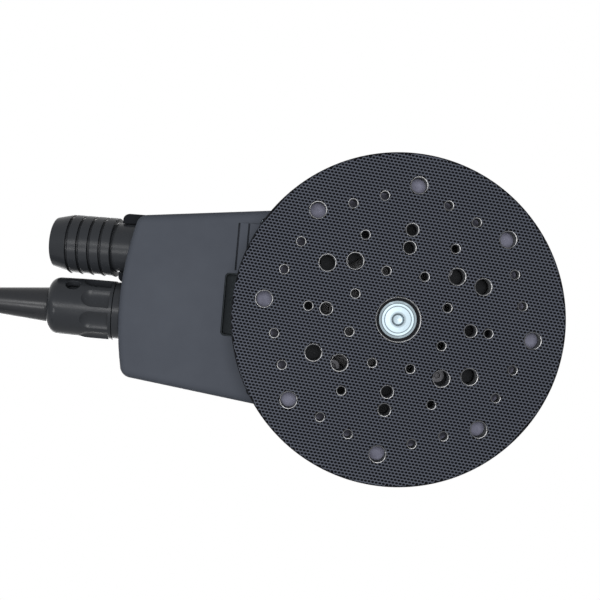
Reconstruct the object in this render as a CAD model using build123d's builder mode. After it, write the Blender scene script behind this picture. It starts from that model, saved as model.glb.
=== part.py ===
from build123d import *
import math
import os

# Random orbital sander for 150 mm hook-and-loop discs, with a brushless motor and a detachable mains lead.
# Frame: the origin is the centre of the pad's working face, +Z is up and -X points to the rear of the handle.
# The motor axis stands behind the pad's own axis by half the orbit. Every size is in millimetres or degrees.

os.makedirs("parts", exist_ok=True)

# Clearances
RUN_GAP = 0.3
BEARING_GAP = 0.05
SEAT_GAP = 0.1

# Pad
PAD_RADIUS = 74.0
PAD_TURN = 3.9
HOOK_THICKNESS = 1.4
FOAM_THICKNESS = 10.0
FOAM_DRAW_IN = 3.0
PLATE_INSET = 6.0
PLATE_THICKNESS = 4.0
BOSS_RADIUS = 16.0
BOSS_HEIGHT = 4.6
HUB_RADIUS = 14.0
HUB_DROP = 6.4
STUD_RECESS_RADIUS = 9.6

# Dust holes in the pad: ring radii and hole diameters
DISC_RING = 60.0
RIM_RING = 55.1
WIDE_RING = 40.2
MIDDLE_RING = 32.2
INNER_RING = 22.25
LARGE_HOLE = 7.0
MEDIUM_HOLE = 5.2
SMALL_HOLE = 3.6
GALLERY_DEPTH = 3.5
GALLERY_MARGIN = 1.0
SPOKE_WIDTH = 8.0

# Pad stud, spindle and eccentric
STUD_HEAD_RADIUS = 8.4
STUD_SHANK_RADIUS = 3.97
STUD_ENGAGEMENT = 14.0
FLANGE_RADIUS = 14.0
FLANGE_ACROSS_FLATS = 24.0
FLANGE_HEIGHT = 5.5
ORBIT = 5.0
JOURNAL_RADIUS = 6.0
SPINDLE_BEARING_RADIUS = 14.0
SPINDLE_BEARING_WIDTH = 8.0
CIRCLIP_THICKNESS = 1.2
CUP_WALL = 3.0
RETAINER_ROOM = 2.0
CUP_WEB = 2.5
COUNTERWEIGHT_RADIUS = 28.0
COUNTERWEIGHT_HEIGHT = 11.0

# Motor
SHAFT_RADIUS = 6.0
MAIN_BEARING_RADIUS = 14.0
MAIN_BEARING_WIDTH = 8.0
TAIL_RADIUS = 4.0
TAIL_BEARING_RADIUS = 11.0
TAIL_BEARING_WIDTH = 7.0
BELL_RADIUS = 34.0
BELL_WALL = 3.0
BELL_FLANGE = 3.0
CAN_WALL = 3.0
STATOR_INNER = 20.5
STATOR_YOKE = 3.5
STATOR_STACK = 16.0
TEETH = 9
TOOTH_WIDTH = 5.0
COIL_THICKNESS = 2.4
AIR_GAP = 0.8
MAGNET_THICKNESS = 2.5
MAGNETS = 4
FAN_RADIUS = 27.0
FAN_HEIGHT = 4.6
FAN_BLADES = 11

# Dust shroud and its seal
SHROUD_LIFT = 1.8
SHROUD_HEIGHT = 10.8
SHROUD_RADIUS = 62.0
SHROUD_WALL = 3.5
SHROUD_WEB = 2.5
SEAL_WIDTH = 3.4
SEAL_HEIGHT = 3.8
SCREW_RADIUS = 1.5
SCREW_HEAD_RADIUS = 3.2
SCREW_HEAD_HEIGHT = 2.0

# Handle and head
FRONT_RADIUS = 51.9
REAR_RADIUS = 125.0
REAR_SKEW = 2.0
SIDE_TAPER = 7.0
CORNER_RADIUS = 5.5
BOTTOM_ROUND = 4.0
TOP_ROUND = 4.0
WALL = 2.5
BASE_THICKNESS = 3.0
LOWER_HEIGHT = 20.0
HEAD_HEIGHT = 38.0
SIDE_DRAFT = 6.0
HANDLE_REAR_HEIGHT = 22.0
HANDLE_SLOPE = 7.0
POCKET_REAR = 76.9
POCKET_LENGTH = 13.4
POCKET_WIDTH = 29.2
POCKET_DEPTH = 8.0
POCKET_CORNER = 2.0
RIDGE_BACK = 71.9
RIDGE_WIDTH = 3.7
RIDGE_INNER = 16.0
RIDGE_OUTER = 42.0
RIDGE_STEP = 0.9
RIDGE_LINE = 0.9
RIDGE_CUT = 1.2
POST_RADIUS = 5.0
POST_INSET = 2.0
POST_SLANT = 44.0
VENTS = 9
VENT_WIDTH = 3.0
VENT_LENGTH = 17.0
VENT_PITCH = 13.0
SIDE_VENTS = 5

# Head cap and palm grip
CAP_SIDE = 4.0
CAP_RISE = 8.5
GRIP_THICKNESS = 2.5
BADGE_RADIUS = 26.0

# Lever
LEVER_LENGTH = 54.0
LEVER_WIDTH = 26.0
LEVER_THICKNESS = 6.5
LEVER_PROUD = 4.0
LEVER_PIN_RADIUS = 1.5
LEVER_PIN_INSET = 5.0
TROUGH_DEPTH = 9.0
LEVER_SIDE_GAP = 0.6

# Keypad
KEYPAD_INSET = 4.0
KEYPAD_UP = 9.0
KEYPAD_LENGTH = 38.0
KEYPAD_HEIGHT = 11.5
BEZEL_THICKNESS = 1.4
BUTTON_RADIUS = 3.4
BUTTON_PITCH = 9.5
BUTTON_PROUD = 1.3
BUTTON_TRAVEL = 0.8
LENS_RADIUS = 1.3

# Dust outlet
TUBE_SPREAD = 30.1
OUTLET_Y = -22.3
OUTLET_TILT = 10.0
OUTLET_BORE = 10.2
OUTLET_NECK = 11.8
OUTLET_FLANGE = 12.6
OUTLET_RADIUS = 14.05
OUTLET_TIP = 12.1
OUTLET_LENGTH = 36.5
CUFF_LENGTH = 8.4
RIBS = 4
RIB_PITCH = 5.53
GROOVE_WIDTH = 1.4
GROOVE_DEPTH = 1.1
HOOD_RADIUS = 16.6
HOOD_LENGTH = 3.4
HOOD_ROUND = 2.6
DUCT_BORE = 7.5
DUCT_WALL = 1.7
DUCT_GAP = 0.4
DUCT_BEND = 14.0

# Cable plug
SOCKET_RADIUS = 11.7
SOCKET_COLLAR = 13.6
PLUG_GAP = 3.9
PLUG_LENGTH = 31.1
PLUG_RADIUS = 13.9
PLUG_SHOULDER = 13.6
PLUG_BORE = 10.9
FLUTES = 8
FLUTE_RADIUS = 8.5
FLUTE_DEPTH = 1.8
FLUTE_LENGTH = 13.3
WINDOW_BACK = 19.5
WINDOW_LENGTH = 7.0
WINDOW_WIDTH = 6.2
WINDOW_ANGLE = 51.0
BOOT_ROOT = 8.3
BOOT_TIP = 4.9
BOOT_LENGTH = 50.0

# Mains lead
CORD_RADIUS = 4.0
COIL_TURNS_PER_LAYER = 3
COIL_LAYERS = 4
COIL_OUTER = 60.0
COIL_PITCH = 9.2
LEAD_SHIFT = 22.0
TAIL_SHIFT = 15.0
TIE_THICKNESS = 1.2
TIE_WIDTH = 14.0
TIE_ANGLE = 250.0

# Levels worked out from the sizes above
MOTOR_X = -ORBIT / 2
Z_PLATE = HOOK_THICKNESS + FOAM_THICKNESS
Z_PLATE_TOP = Z_PLATE + PLATE_THICKNESS
Z_HUB = Z_PLATE - HUB_DROP
Z_SPINDLE = Z_PLATE_TOP + BOSS_HEIGHT
Z_FLANGE_TOP = Z_SPINDLE + FLANGE_HEIGHT
Z_CIRCLIP = Z_FLANGE_TOP + RUN_GAP
Z_BEARINGS = Z_CIRCLIP + CIRCLIP_THICKNESS
Z_BEARINGS_TOP = Z_BEARINGS + 2 * SPINDLE_BEARING_WIDTH
Z_CUP_TOP = Z_BEARINGS_TOP + RETAINER_ROOM + CUP_WEB
Z_MAIN = Z_CUP_TOP + RUN_GAP
Z_MAIN_TOP = Z_MAIN + MAIN_BEARING_WIDTH
Z_WINDING = Z_MAIN_TOP + RUN_GAP
Z_STATOR = Z_WINDING + COIL_THICKNESS
Z_STATOR_TOP = Z_STATOR + STATOR_STACK
Z_FAN = Z_STATOR_TOP + COIL_THICKNESS + RUN_GAP
Z_FAN_TOP = Z_FAN + FAN_HEIGHT
Z_BRIDGE = Z_FAN_TOP + 2 * RUN_GAP
Z_TAIL_TOP = Z_BRIDGE + TAIL_BEARING_WIDTH
Z_SHROUD = Z_PLATE_TOP + SHROUD_LIFT
Z_BASE = Z_SHROUD + SHROUD_HEIGHT
Z_FLOOR = Z_BASE + BASE_THICKNESS
Z_SPLIT = Z_BASE + LOWER_HEIGHT
Z_HEAD = Z_SPLIT + HEAD_HEIGHT
PLATE_RADIUS = PAD_RADIUS - PLATE_INSET
CUP_RADIUS = SPINDLE_BEARING_RADIUS + CUP_WALL
BELL_INNER = BELL_RADIUS - BELL_WALL
BELL_FLANGE_RADIUS = BELL_RADIUS + BELL_FLANGE
CAN_RADIUS = BELL_RADIUS
STATOR_RADIUS = CAN_RADIUS - CAN_WALL
PLUG_Y = OUTLET_Y + TUBE_SPREAD
TUBE_Z = Z_SPLIT

# Distances behind the motor axis, worked out from the handle's rear
TUBE_ROOT = REAR_RADIUS - 15
HOOD_REACH = REAR_RADIUS + HOOD_LENGTH
OUTLET_REACH = REAR_RADIUS + OUTLET_LENGTH
PLUG_FRONT = REAR_RADIUS + PLUG_GAP
PLUG_REACH = PLUG_FRONT + PLUG_LENGTH
BOOT_REACH = PLUG_REACH + BOOT_LENGTH
SOCKET_BACK = REAR_RADIUS - 11
DUCT_END = REAR_RADIUS - 7
OUTLET_INNER_END = DUCT_END - 8.5
DUCT_BACK = math.sqrt((BELL_FLANGE_RADIUS + DUCT_GAP + DUCT_BORE + DUCT_WALL) ** 2 - OUTLET_Y**2)
SIDE_LENGTH = math.sqrt(REAR_RADIUS**2 - FRONT_RADIUS**2)
KEYPAD_BACK = SIDE_LENGTH - CORNER_RADIUS - KEYPAD_INSET - KEYPAD_LENGTH / 2
POST_BACK = KEYPAD_BACK - KEYPAD_LENGTH / 2 - POST_RADIUS - POST_INSET
SIDE_VENT_BACK = (POST_BACK - POST_RADIUS) / 2 - 1
LEVER_REAR = REAR_RADIUS - FRONT_RADIUS - LEVER_LENGTH

# The dust outlet rises towards its end. Its axis leaves the level of the tubes where the duct bends up
# inside the handle, and distances along it are counted as if it came straight from the motor axis.
TILT = math.radians(OUTLET_TILT)
OUTLET_BEND = OUTLET_INNER_END - DUCT_BEND * math.tan(TILT / 2) - RUN_GAP
OUTLET_WAY = Vector(-math.cos(TILT), 0, math.sin(TILT))
OUTLET_START = Vector(MOTOR_X - OUTLET_BEND, OUTLET_Y, TUBE_Z) - OUTLET_WAY * OUTLET_BEND
OUTLET_PROFILE = Plane(OUTLET_START, x_dir=OUTLET_WAY, z_dir=(0, 1, 0))
OUTLET_AXIS = Axis(OUTLET_START, OUTLET_WAY)

MOTOR_AXIS = Axis((MOTOR_X, 0, 0), (0, 0, 1))
MOTOR_PROFILE = Plane((MOTOR_X, 0, 0), x_dir=(1, 0, 0), z_dir=(0, -1, 0))
PAD_PROFILE = Plane.XZ

# The sloping top of the handle: local X runs forwards and up, local Z is its outward normal.
SLOPE = math.radians(HANDLE_SLOPE)
HANDLE_TOP = Plane(
    (MOTOR_X - REAR_RADIUS, 0, Z_SPLIT + HANDLE_REAR_HEIGHT),
    x_dir=(math.cos(SLOPE), 0, math.sin(SLOPE)),
    z_dir=(-math.sin(SLOPE), 0, math.cos(SLOPE)),
)
# The same slope read along the handle's side: local X is height along the slope's normal, local Z points to -Y.
LEVER_SIDE = Plane(HANDLE_TOP.origin, x_dir=HANDLE_TOP.x_dir, z_dir=(0, -1, 0))


def motor_plane(z):
    """A level plane with its origin on the motor axis."""
    return Plane((MOTOR_X, 0, z))


def tube_profile(y):
    """A profile plane for pieces turned about a rearward tube axis: local X is the distance behind the motor axis."""
    return Plane((MOTOR_X, y, TUBE_Z), x_dir=(-1, 0, 0), z_dir=(0, 1, 0))


def tube_axis(y):
    return Axis((MOTOR_X, y, TUBE_Z), (-1, 0, 0))


def tube_section(y, back):
    """A plane square to a rearward tube axis, at a distance behind the motor axis, facing the rear."""
    return Plane((MOTOR_X - back, y, TUBE_Z), x_dir=(0, -1, 0), z_dir=(-1, 0, 0))


def outlet_section(back):
    """A plane square to the dust outlet's axis, at a distance along it, facing the rear."""
    return Plane(OUTLET_START + OUTLET_WAY * back, x_dir=(0, -1, 0), z_dir=OUTLET_WAY)


def turn(plane, axis, *points, mode=Mode.ADD):
    """Revolves a closed outline of straight edges."""
    with BuildSketch(plane) as outline:
        with BuildLine():
            Polyline(*points, close=True)
        make_face()
    revolve(outline.sketch, axis=axis, mode=mode)


def turn_motor(*points, mode=Mode.ADD):
    turn(MOTOR_PROFILE, MOTOR_AXIS, *points, mode=mode)


def turn_pad(*points, mode=Mode.ADD):
    turn(PAD_PROFILE, Axis.Z, *points, mode=mode)


def handle_outline(inset, z):
    """The body's outline at one level: a round front, two tapering sides and a bowed, slightly skewed rear, drawn in by inset."""
    taper = math.radians(SIDE_TAPER)
    front = FRONT_RADIUS - inset
    rear = REAR_RADIUS - inset
    side = math.sqrt(rear**2 - front**2)
    left = Vector(-front * math.sin(taper), front * math.cos(taper))
    right = Vector(left.X, -left.Y)
    left_rear = left + Vector(-math.cos(taper), -math.sin(taper)) * (side + REAR_SKEW)
    right_rear = right + Vector(-math.cos(taper), math.sin(taper)) * side
    with BuildSketch(motor_plane(z)) as outline:
        with BuildLine():
            ThreePointArc(right, (front, 0), left)
            Line(left, left_rear)
            ThreePointArc(left_rear, (-rear, 0), right_rear)
            Line(right_rear, right)
        make_face()
        fillet(outline.vertices().sort_by(Axis.X)[:2], CORNER_RADIUS)
    return outline.sketch


def dust_holes(rings, depth):
    """Cuts rings of round holes, each given as radius, diameter, count and first angle, through the pad's layers."""
    for radius, diameter, count, first in rings:
        with BuildSketch(Plane.XY) as ring:
            with PolarLocations(radius, count, PAD_TURN + first):
                Circle(diameter / 2)
        extrude(ring.sketch, amount=depth, mode=Mode.SUBTRACT)


def keep(piece, name):
    """Labels a finished piece and writes it under its node's name."""
    piece.part.label = name
    export_step(piece.part, f"parts/{name}.step")


INNER_HOLES = [
    (INNER_RING, SMALL_HOLE, 8, 22.5),
    (MIDDLE_RING, LARGE_HOLE, 4, 45),
    (MIDDLE_RING, MEDIUM_HOLE, 4, 0),
    (WIDE_RING, SMALL_HOLE, 6, 0),
    (WIDE_RING, LARGE_HOLE, 2, 30),
    (WIDE_RING, LARGE_HOLE, 2, 150),
    (WIDE_RING, MEDIUM_HOLE, 2, 90),
]
OUTER_HOLES = [
    (DISC_RING, LARGE_HOLE, 8, 0),
    (RIM_RING, SMALL_HOLE, 8, 15),
    (RIM_RING, SMALL_HOLE, 8, 30),
]

# Hook face: the textile that grips the sanding disc
with BuildPart() as hook_face:
    with BuildSketch(Plane.XY):
        Circle(PAD_RADIUS)
        Circle(STUD_RECESS_RADIUS, mode=Mode.SUBTRACT)
    extrude(amount=HOOK_THICKNESS)
    dust_holes(INNER_HOLES + OUTER_HOLES, HOOK_THICKNESS)
keep(hook_face, "hook_face")

# Pad foam: drawn in towards the top, with a ring gallery and spokes that lead the outer dust holes inwards
with BuildPart() as pad_foam:
    turn_pad(
        (STUD_RECESS_RADIUS, HOOK_THICKNESS),
        (PAD_RADIUS, HOOK_THICKNESS),
        (PAD_RADIUS - FOAM_DRAW_IN, Z_PLATE),
        (HUB_RADIUS + SEAT_GAP, Z_PLATE),
        (HUB_RADIUS + SEAT_GAP, Z_HUB),
        (STUD_RECESS_RADIUS, Z_HUB),
    )
    dust_holes(INNER_HOLES + OUTER_HOLES, Z_PLATE)
    with BuildSketch(Plane.XY.offset(Z_PLATE)):
        Circle(DISC_RING + LARGE_HOLE / 2 + GALLERY_MARGIN)
        Circle(RIM_RING - SMALL_HOLE / 2 - GALLERY_MARGIN, mode=Mode.SUBTRACT)
        with PolarLocations((MIDDLE_RING + RIM_RING) / 2, 8, PAD_TURN):
            SlotOverall(RIM_RING - MIDDLE_RING + SPOKE_WIDTH, SPOKE_WIDTH)
    extrude(amount=-GALLERY_DEPTH, mode=Mode.SUBTRACT)
keep(pad_foam, "pad_foam")

# Pad plate: the stiff backing with a hub below for the stud and a boss above for the spindle
with BuildPart() as pad_plate:
    turn_pad(
        (STUD_SHANK_RADIUS + SEAT_GAP, Z_HUB),
        (HUB_RADIUS, Z_HUB),
        (HUB_RADIUS, Z_PLATE),
        (PLATE_RADIUS, Z_PLATE),
        (PLATE_RADIUS, Z_PLATE_TOP),
        (BOSS_RADIUS, Z_PLATE_TOP),
        (BOSS_RADIUS, Z_SPINDLE),
        (STUD_SHANK_RADIUS + SEAT_GAP, Z_SPINDLE),
    )
    dust_holes(INNER_HOLES, Z_PLATE_TOP)
keep(pad_plate, "pad_plate")

# Pad stud: a riveted steel stud whose stepped head shows in the middle of the working face
HEAD_STEPS = [(1.0, 1.6), (0.86, 2.2), (0.7, 2.8), (0.33, 3.1)]
with BuildPart() as pad_stud:
    with BuildSketch(PAD_PROFILE):
        with BuildLine():
            rim, washer, dome, dimple = (
                (STUD_HEAD_RADIUS * share, Z_HUB - height) for share, height in HEAD_STEPS
            )
            outline = [
                (0, Z_SPINDLE + STUD_ENGAGEMENT),
                (STUD_SHANK_RADIUS, Z_SPINDLE + STUD_ENGAGEMENT),
                (STUD_SHANK_RADIUS, Z_HUB),
                (STUD_HEAD_RADIUS, Z_HUB),
                rim,
                (washer[0], rim[1]),
                washer,
                (dome[0], washer[1]),
                dome,
                dimple,
                (dimple[0] * 0.75, dome[1] + 0.9),
                (0, dome[1] + 1.3),
            ]
            Polyline(*outline, close=True)
        make_face()
    revolve(axis=Axis.Z)
keep(pad_stud, "pad_stud")

# Pad spindle: a flange with two wrench flats and a journal that runs in the eccentric's bearings
with BuildPart() as pad_spindle:
    with BuildSketch(Plane.XY.offset(Z_SPINDLE)):
        Circle(FLANGE_RADIUS)
        Rectangle(2 * FLANGE_RADIUS, FLANGE_ACROSS_FLATS, mode=Mode.INTERSECT)
    extrude(amount=FLANGE_HEIGHT)
    with BuildSketch(Plane.XY.offset(Z_FLANGE_TOP)):
        Circle(JOURNAL_RADIUS)
    extrude(amount=Z_BEARINGS_TOP + RETAINER_ROOM - RUN_GAP - Z_FLANGE_TOP)
    with BuildSketch(Plane.XY.offset(Z_SPINDLE)):
        Circle(STUD_SHANK_RADIUS + BEARING_GAP)
    extrude(amount=STUD_ENGAGEMENT + 1, mode=Mode.SUBTRACT)
keep(pad_spindle, "pad_spindle")

# Spindle retainer: the ring above the upper bearing that keeps the spindle in the eccentric
with BuildPart() as spindle_retainer:
    with BuildSketch(Plane.XY.offset(Z_BEARINGS_TOP + RUN_GAP)):
        Circle(JOURNAL_RADIUS + 2.4)
        Circle(JOURNAL_RADIUS + BEARING_GAP, mode=Mode.SUBTRACT)
    extrude(amount=CIRCLIP_THICKNESS)
keep(spindle_retainer, "spindle_retainer")


def sealed_bearing(plane, bore, radius, width):
    """A shielded ball bearing as one ring, with its shields set back between the two races."""
    race = (radius - bore) / 4
    shield = 0.5
    with BuildPart() as bearing:
        with BuildSketch(plane):
            Circle(radius)
            Circle(bore + BEARING_GAP, mode=Mode.SUBTRACT)
        extrude(amount=width)
        for level in (plane, plane.offset(width - shield)):
            with BuildSketch(level):
                Circle(radius - race)
                Circle(bore + race, mode=Mode.SUBTRACT)
            extrude(amount=shield, mode=Mode.SUBTRACT)
    return bearing


for name, level in (("spindle_bearing_lower", 0), ("spindle_bearing_upper", 1)):
    seat = Plane.XY.offset(Z_BEARINGS + level * SPINDLE_BEARING_WIDTH)
    keep(sealed_bearing(seat, JOURNAL_RADIUS, SPINDLE_BEARING_RADIUS, SPINDLE_BEARING_WIDTH), name)
keep(sealed_bearing(motor_plane(Z_MAIN), SHAFT_RADIUS, MAIN_BEARING_RADIUS, MAIN_BEARING_WIDTH), "main_bearing")
keep(sealed_bearing(motor_plane(Z_BRIDGE), TAIL_RADIUS, TAIL_BEARING_RADIUS, TAIL_BEARING_WIDTH), "tail_bearing")

# Eccentric shaft: the motor shaft with the offset cup that holds the spindle bearings
with BuildPart() as eccentric_shaft:
    turn_pad(
        (SPINDLE_BEARING_RADIUS + BEARING_GAP, Z_CIRCLIP),
        (CUP_RADIUS, Z_CIRCLIP),
        (CUP_RADIUS, Z_CUP_TOP),
        (0, Z_CUP_TOP),
        (0, Z_CUP_TOP - CUP_WEB),
        (SPINDLE_BEARING_RADIUS - 3.5, Z_CUP_TOP - CUP_WEB),
        (SPINDLE_BEARING_RADIUS - 3.5, Z_BEARINGS_TOP),
        (SPINDLE_BEARING_RADIUS + BEARING_GAP, Z_BEARINGS_TOP),
    )
    turn_motor(
        (0, Z_CUP_TOP - CUP_WEB),
        (SHAFT_RADIUS, Z_CUP_TOP - CUP_WEB),
        (SHAFT_RADIUS, Z_FAN),
        (TAIL_RADIUS, Z_FAN),
        (TAIL_RADIUS, Z_TAIL_TOP + 0.5),
        (0, Z_TAIL_TOP + 0.5),
    )
keep(eccentric_shaft, "eccentric_shaft")

# Bearing circlip: the split ring that closes the cup below the spindle bearings
with BuildPart() as bearing_circlip:
    with BuildSketch(Plane.XY.offset(Z_CIRCLIP)):
        Circle(SPINDLE_BEARING_RADIUS)
        Circle(SPINDLE_BEARING_RADIUS - 2.2, mode=Mode.SUBTRACT)
        with Locations((SPINDLE_BEARING_RADIUS, 0)):
            Rectangle(8, 5, mode=Mode.SUBTRACT)
    extrude(amount=CIRCLIP_THICKNESS)
keep(bearing_circlip, "bearing_circlip")

# Counterweight: a half disc behind the motor axis that balances the pad, clamped round the cup
with BuildPart() as counterweight:
    with BuildSketch(motor_plane(Z_BEARINGS)):
        Circle(COUNTERWEIGHT_RADIUS)
        with Locations((COUNTERWEIGHT_RADIUS, 0)):
            Rectangle(2 * COUNTERWEIGHT_RADIUS, 2 * COUNTERWEIGHT_RADIUS, mode=Mode.SUBTRACT)
        with Locations((ORBIT / 2, 0)):
            Circle(CUP_RADIUS + 2.6)
            Circle(CUP_RADIUS + BEARING_GAP, mode=Mode.SUBTRACT)
    extrude(amount=COUNTERWEIGHT_HEIGHT)
keep(counterweight, "counterweight")

# Motor bell: the cast end plate that carries the main bearing and closes the dust chamber
WEB_THICKNESS = 3.0
with BuildPart() as motor_bell:
    turn_motor(
        (BELL_INNER, Z_FLOOR),
        (BELL_FLANGE_RADIUS, Z_FLOOR),
        (BELL_FLANGE_RADIUS, Z_FLOOR + BASE_THICKNESS),
        (BELL_RADIUS, Z_FLOOR + BASE_THICKNESS),
        (BELL_RADIUS, Z_MAIN + WEB_THICKNESS),
        (MAIN_BEARING_RADIUS + BELL_WALL, Z_MAIN + WEB_THICKNESS),
        (MAIN_BEARING_RADIUS + BELL_WALL, Z_MAIN_TOP),
        (MAIN_BEARING_RADIUS + BEARING_GAP, Z_MAIN_TOP),
        (MAIN_BEARING_RADIUS + BEARING_GAP, Z_MAIN),
        (BELL_INNER, Z_MAIN),
    )
    with BuildSketch(motor_plane(Z_FLOOR)):
        with PolarLocations((BELL_INNER + BELL_FLANGE_RADIUS) / 2, 4, 45):
            Circle(SCREW_RADIUS + BEARING_GAP)
    extrude(amount=BASE_THICKNESS, mode=Mode.SUBTRACT)
keep(motor_bell, "motor_bell")

# Motor can: the sleeve round the stator, standing on the bell
with BuildPart() as motor_can:
    with BuildSketch(motor_plane(Z_MAIN + WEB_THICKNESS)):
        Circle(CAN_RADIUS)
        Circle(STATOR_RADIUS + BEARING_GAP, mode=Mode.SUBTRACT)
    extrude(amount=Z_BRIDGE - Z_MAIN - WEB_THICKNESS)
keep(motor_can, "motor_can")

# Stator core: a yoke ring with inward teeth
with BuildPart() as stator_core:
    with BuildSketch(motor_plane(Z_STATOR)):
        Circle(STATOR_RADIUS)
        Circle(STATOR_RADIUS - STATOR_YOKE, mode=Mode.SUBTRACT)
        tooth_reach = STATOR_RADIUS - STATOR_YOKE / 2 - STATOR_INNER
        with PolarLocations(STATOR_INNER + tooth_reach / 2, TEETH):
            Rectangle(tooth_reach, TOOTH_WIDTH)
        Circle(STATOR_INNER, mode=Mode.SUBTRACT)
    extrude(amount=STATOR_STACK)
keep(stator_core, "stator_core")

# Stator windings: one coil round each tooth, standing proud of the stack at both ends
with BuildPart() as stator_windings:
    coil_inner = STATOR_INNER + 0.8
    coil_outer = STATOR_RADIUS - STATOR_YOKE - 0.8
    coil_reach = coil_outer - coil_inner
    coil_width = TOOTH_WIDTH + 2 * COIL_THICKNESS
    with BuildSketch(motor_plane(Z_STATOR - COIL_THICKNESS)):
        with PolarLocations((coil_inner + coil_outer) / 2, TEETH):
            Rectangle(coil_reach, coil_width)
    extrude(amount=STATOR_STACK + 2 * COIL_THICKNESS)
    with BuildSketch(motor_plane(Z_STATOR - SEAT_GAP)):
        with PolarLocations((coil_inner + coil_outer) / 2, TEETH):
            Rectangle(coil_reach + 2, TOOTH_WIDTH + 2 * SEAT_GAP)
    extrude(amount=STATOR_STACK + 2 * SEAT_GAP, mode=Mode.SUBTRACT)
keep(stator_windings, "stator_windings")

# Rotor: a laminated core on the shaft with curved magnets round it
ROTOR_RADIUS = STATOR_INNER - AIR_GAP - MAGNET_THICKNESS
with BuildPart() as rotor_core:
    with BuildSketch(motor_plane(Z_STATOR)):
        Circle(ROTOR_RADIUS)
        Circle(SHAFT_RADIUS + BEARING_GAP, mode=Mode.SUBTRACT)
    extrude(amount=STATOR_STACK)
keep(rotor_core, "rotor_core")

with BuildPart() as rotor_magnets:
    with BuildSketch(motor_plane(Z_STATOR)):
        Circle(ROTOR_RADIUS + MAGNET_THICKNESS)
        Circle(ROTOR_RADIUS + BEARING_GAP, mode=Mode.SUBTRACT)
        with PolarLocations(0, MAGNETS):
            Rectangle(3 * ROTOR_RADIUS, 2.4, mode=Mode.SUBTRACT)
    extrude(amount=STATOR_STACK)
keep(rotor_magnets, "rotor_magnets")

# Cooling fan: a disc with upright blades, pressed on the shaft's tail
with BuildPart() as cooling_fan:
    fan_disc = 1.2
    fan_hub = TAIL_RADIUS + 4
    with BuildSketch(motor_plane(Z_FAN)):
        Circle(FAN_RADIUS)
        Circle(TAIL_RADIUS + BEARING_GAP, mode=Mode.SUBTRACT)
    extrude(amount=fan_disc)
    with BuildSketch(motor_plane(Z_FAN)):
        Circle(fan_hub)
        Circle(TAIL_RADIUS + BEARING_GAP, mode=Mode.SUBTRACT)
        with PolarLocations((fan_hub + FAN_RADIUS) / 2, FAN_BLADES):
            Rectangle(FAN_RADIUS - fan_hub - 3, fan_disc, rotation=25)
    extrude(amount=FAN_HEIGHT)
keep(cooling_fan, "cooling_fan")

# Bearing bridge: the spider on top of the motor can that holds the tail bearing
with BuildPart() as bearing_bridge:
    turn_motor(
        (TAIL_BEARING_RADIUS + BEARING_GAP, Z_BRIDGE),
        (CAN_RADIUS, Z_BRIDGE),
        (CAN_RADIUS, Z_BRIDGE + WEB_THICKNESS),
        (TAIL_BEARING_RADIUS + BELL_WALL, Z_BRIDGE + WEB_THICKNESS),
        (TAIL_BEARING_RADIUS + BELL_WALL, Z_TAIL_TOP),
        (TAIL_BEARING_RADIUS + BEARING_GAP, Z_TAIL_TOP),
    )
    with BuildSketch(motor_plane(Z_BRIDGE)):
        with PolarLocations((TAIL_BEARING_RADIUS + BELL_WALL + CAN_RADIUS) / 2, 6):
            SlotOverall(12, 7, rotation=90)
    extrude(amount=WEB_THICKNESS, mode=Mode.SUBTRACT)
keep(bearing_bridge, "bearing_bridge")

# Shroud: the skirt over the pad that forms the dust chamber, with a notch at the rear for the spindle wrench
SEAL_OUTER = SHROUD_RADIUS - SHROUD_WALL
SEAL_INNER = SEAL_OUTER - SEAL_WIDTH
SCREW_CIRCLE = (BELL_INNER + BELL_FLANGE_RADIUS) / 2
with BuildPart() as shroud:
    turn_motor(
        (SEAL_OUTER, Z_SHROUD),
        (SHROUD_RADIUS, Z_SHROUD),
        (SHROUD_RADIUS, Z_SHROUD + SEAL_HEIGHT),
        (SHROUD_RADIUS - 5, Z_BASE),
        (BELL_INNER, Z_BASE),
        (BELL_INNER, Z_BASE - SHROUD_WEB),
        (SEAL_INNER - 1, Z_BASE - SHROUD_WEB),
        (SEAL_INNER - 1, Z_SHROUD + SEAL_HEIGHT),
        (SEAL_OUTER, Z_SHROUD + SEAL_HEIGHT),
    )
    fillet(shroud.edges().filter_by(GeomType.CIRCLE).sort_by(SortBy.RADIUS)[-2:], 1.6)
    with BuildSketch(motor_plane(Z_BASE)):
        with Locations((-DUCT_BACK, OUTLET_Y)):
            Circle(DUCT_BORE)
        with PolarLocations(SCREW_CIRCLE, 4, 45):
            Circle(SCREW_RADIUS + SEAT_GAP)
    extrude(amount=-SHROUD_WEB, mode=Mode.SUBTRACT)
    with BuildSketch(motor_plane(Z_SHROUD + SEAL_HEIGHT)):
        with Locations((-SHROUD_RADIUS, 0)):
            Rectangle(2 * SHROUD_WALL + 18, POCKET_WIDTH)
    extrude(amount=SHROUD_HEIGHT, mode=Mode.SUBTRACT)
keep(shroud, "shroud")

# Brake seal: a rubber ring whose lip runs just over the pad plate
SEAL_LIP = 1.2
with BuildPart() as brake_seal:
    turn_motor(
        (SEAL_INNER, Z_SHROUD + SEAL_HEIGHT - SEAT_GAP),
        (SEAL_OUTER - SEAT_GAP, Z_SHROUD + SEAL_HEIGHT - SEAT_GAP),
        (SEAL_OUTER - SEAT_GAP, Z_SHROUD + 1),
        (SEAL_INNER + SEAL_LIP, Z_PLATE_TOP + RUN_GAP),
        (SEAL_INNER, Z_PLATE_TOP + RUN_GAP),
    )
keep(brake_seal, "brake_seal")

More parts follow.
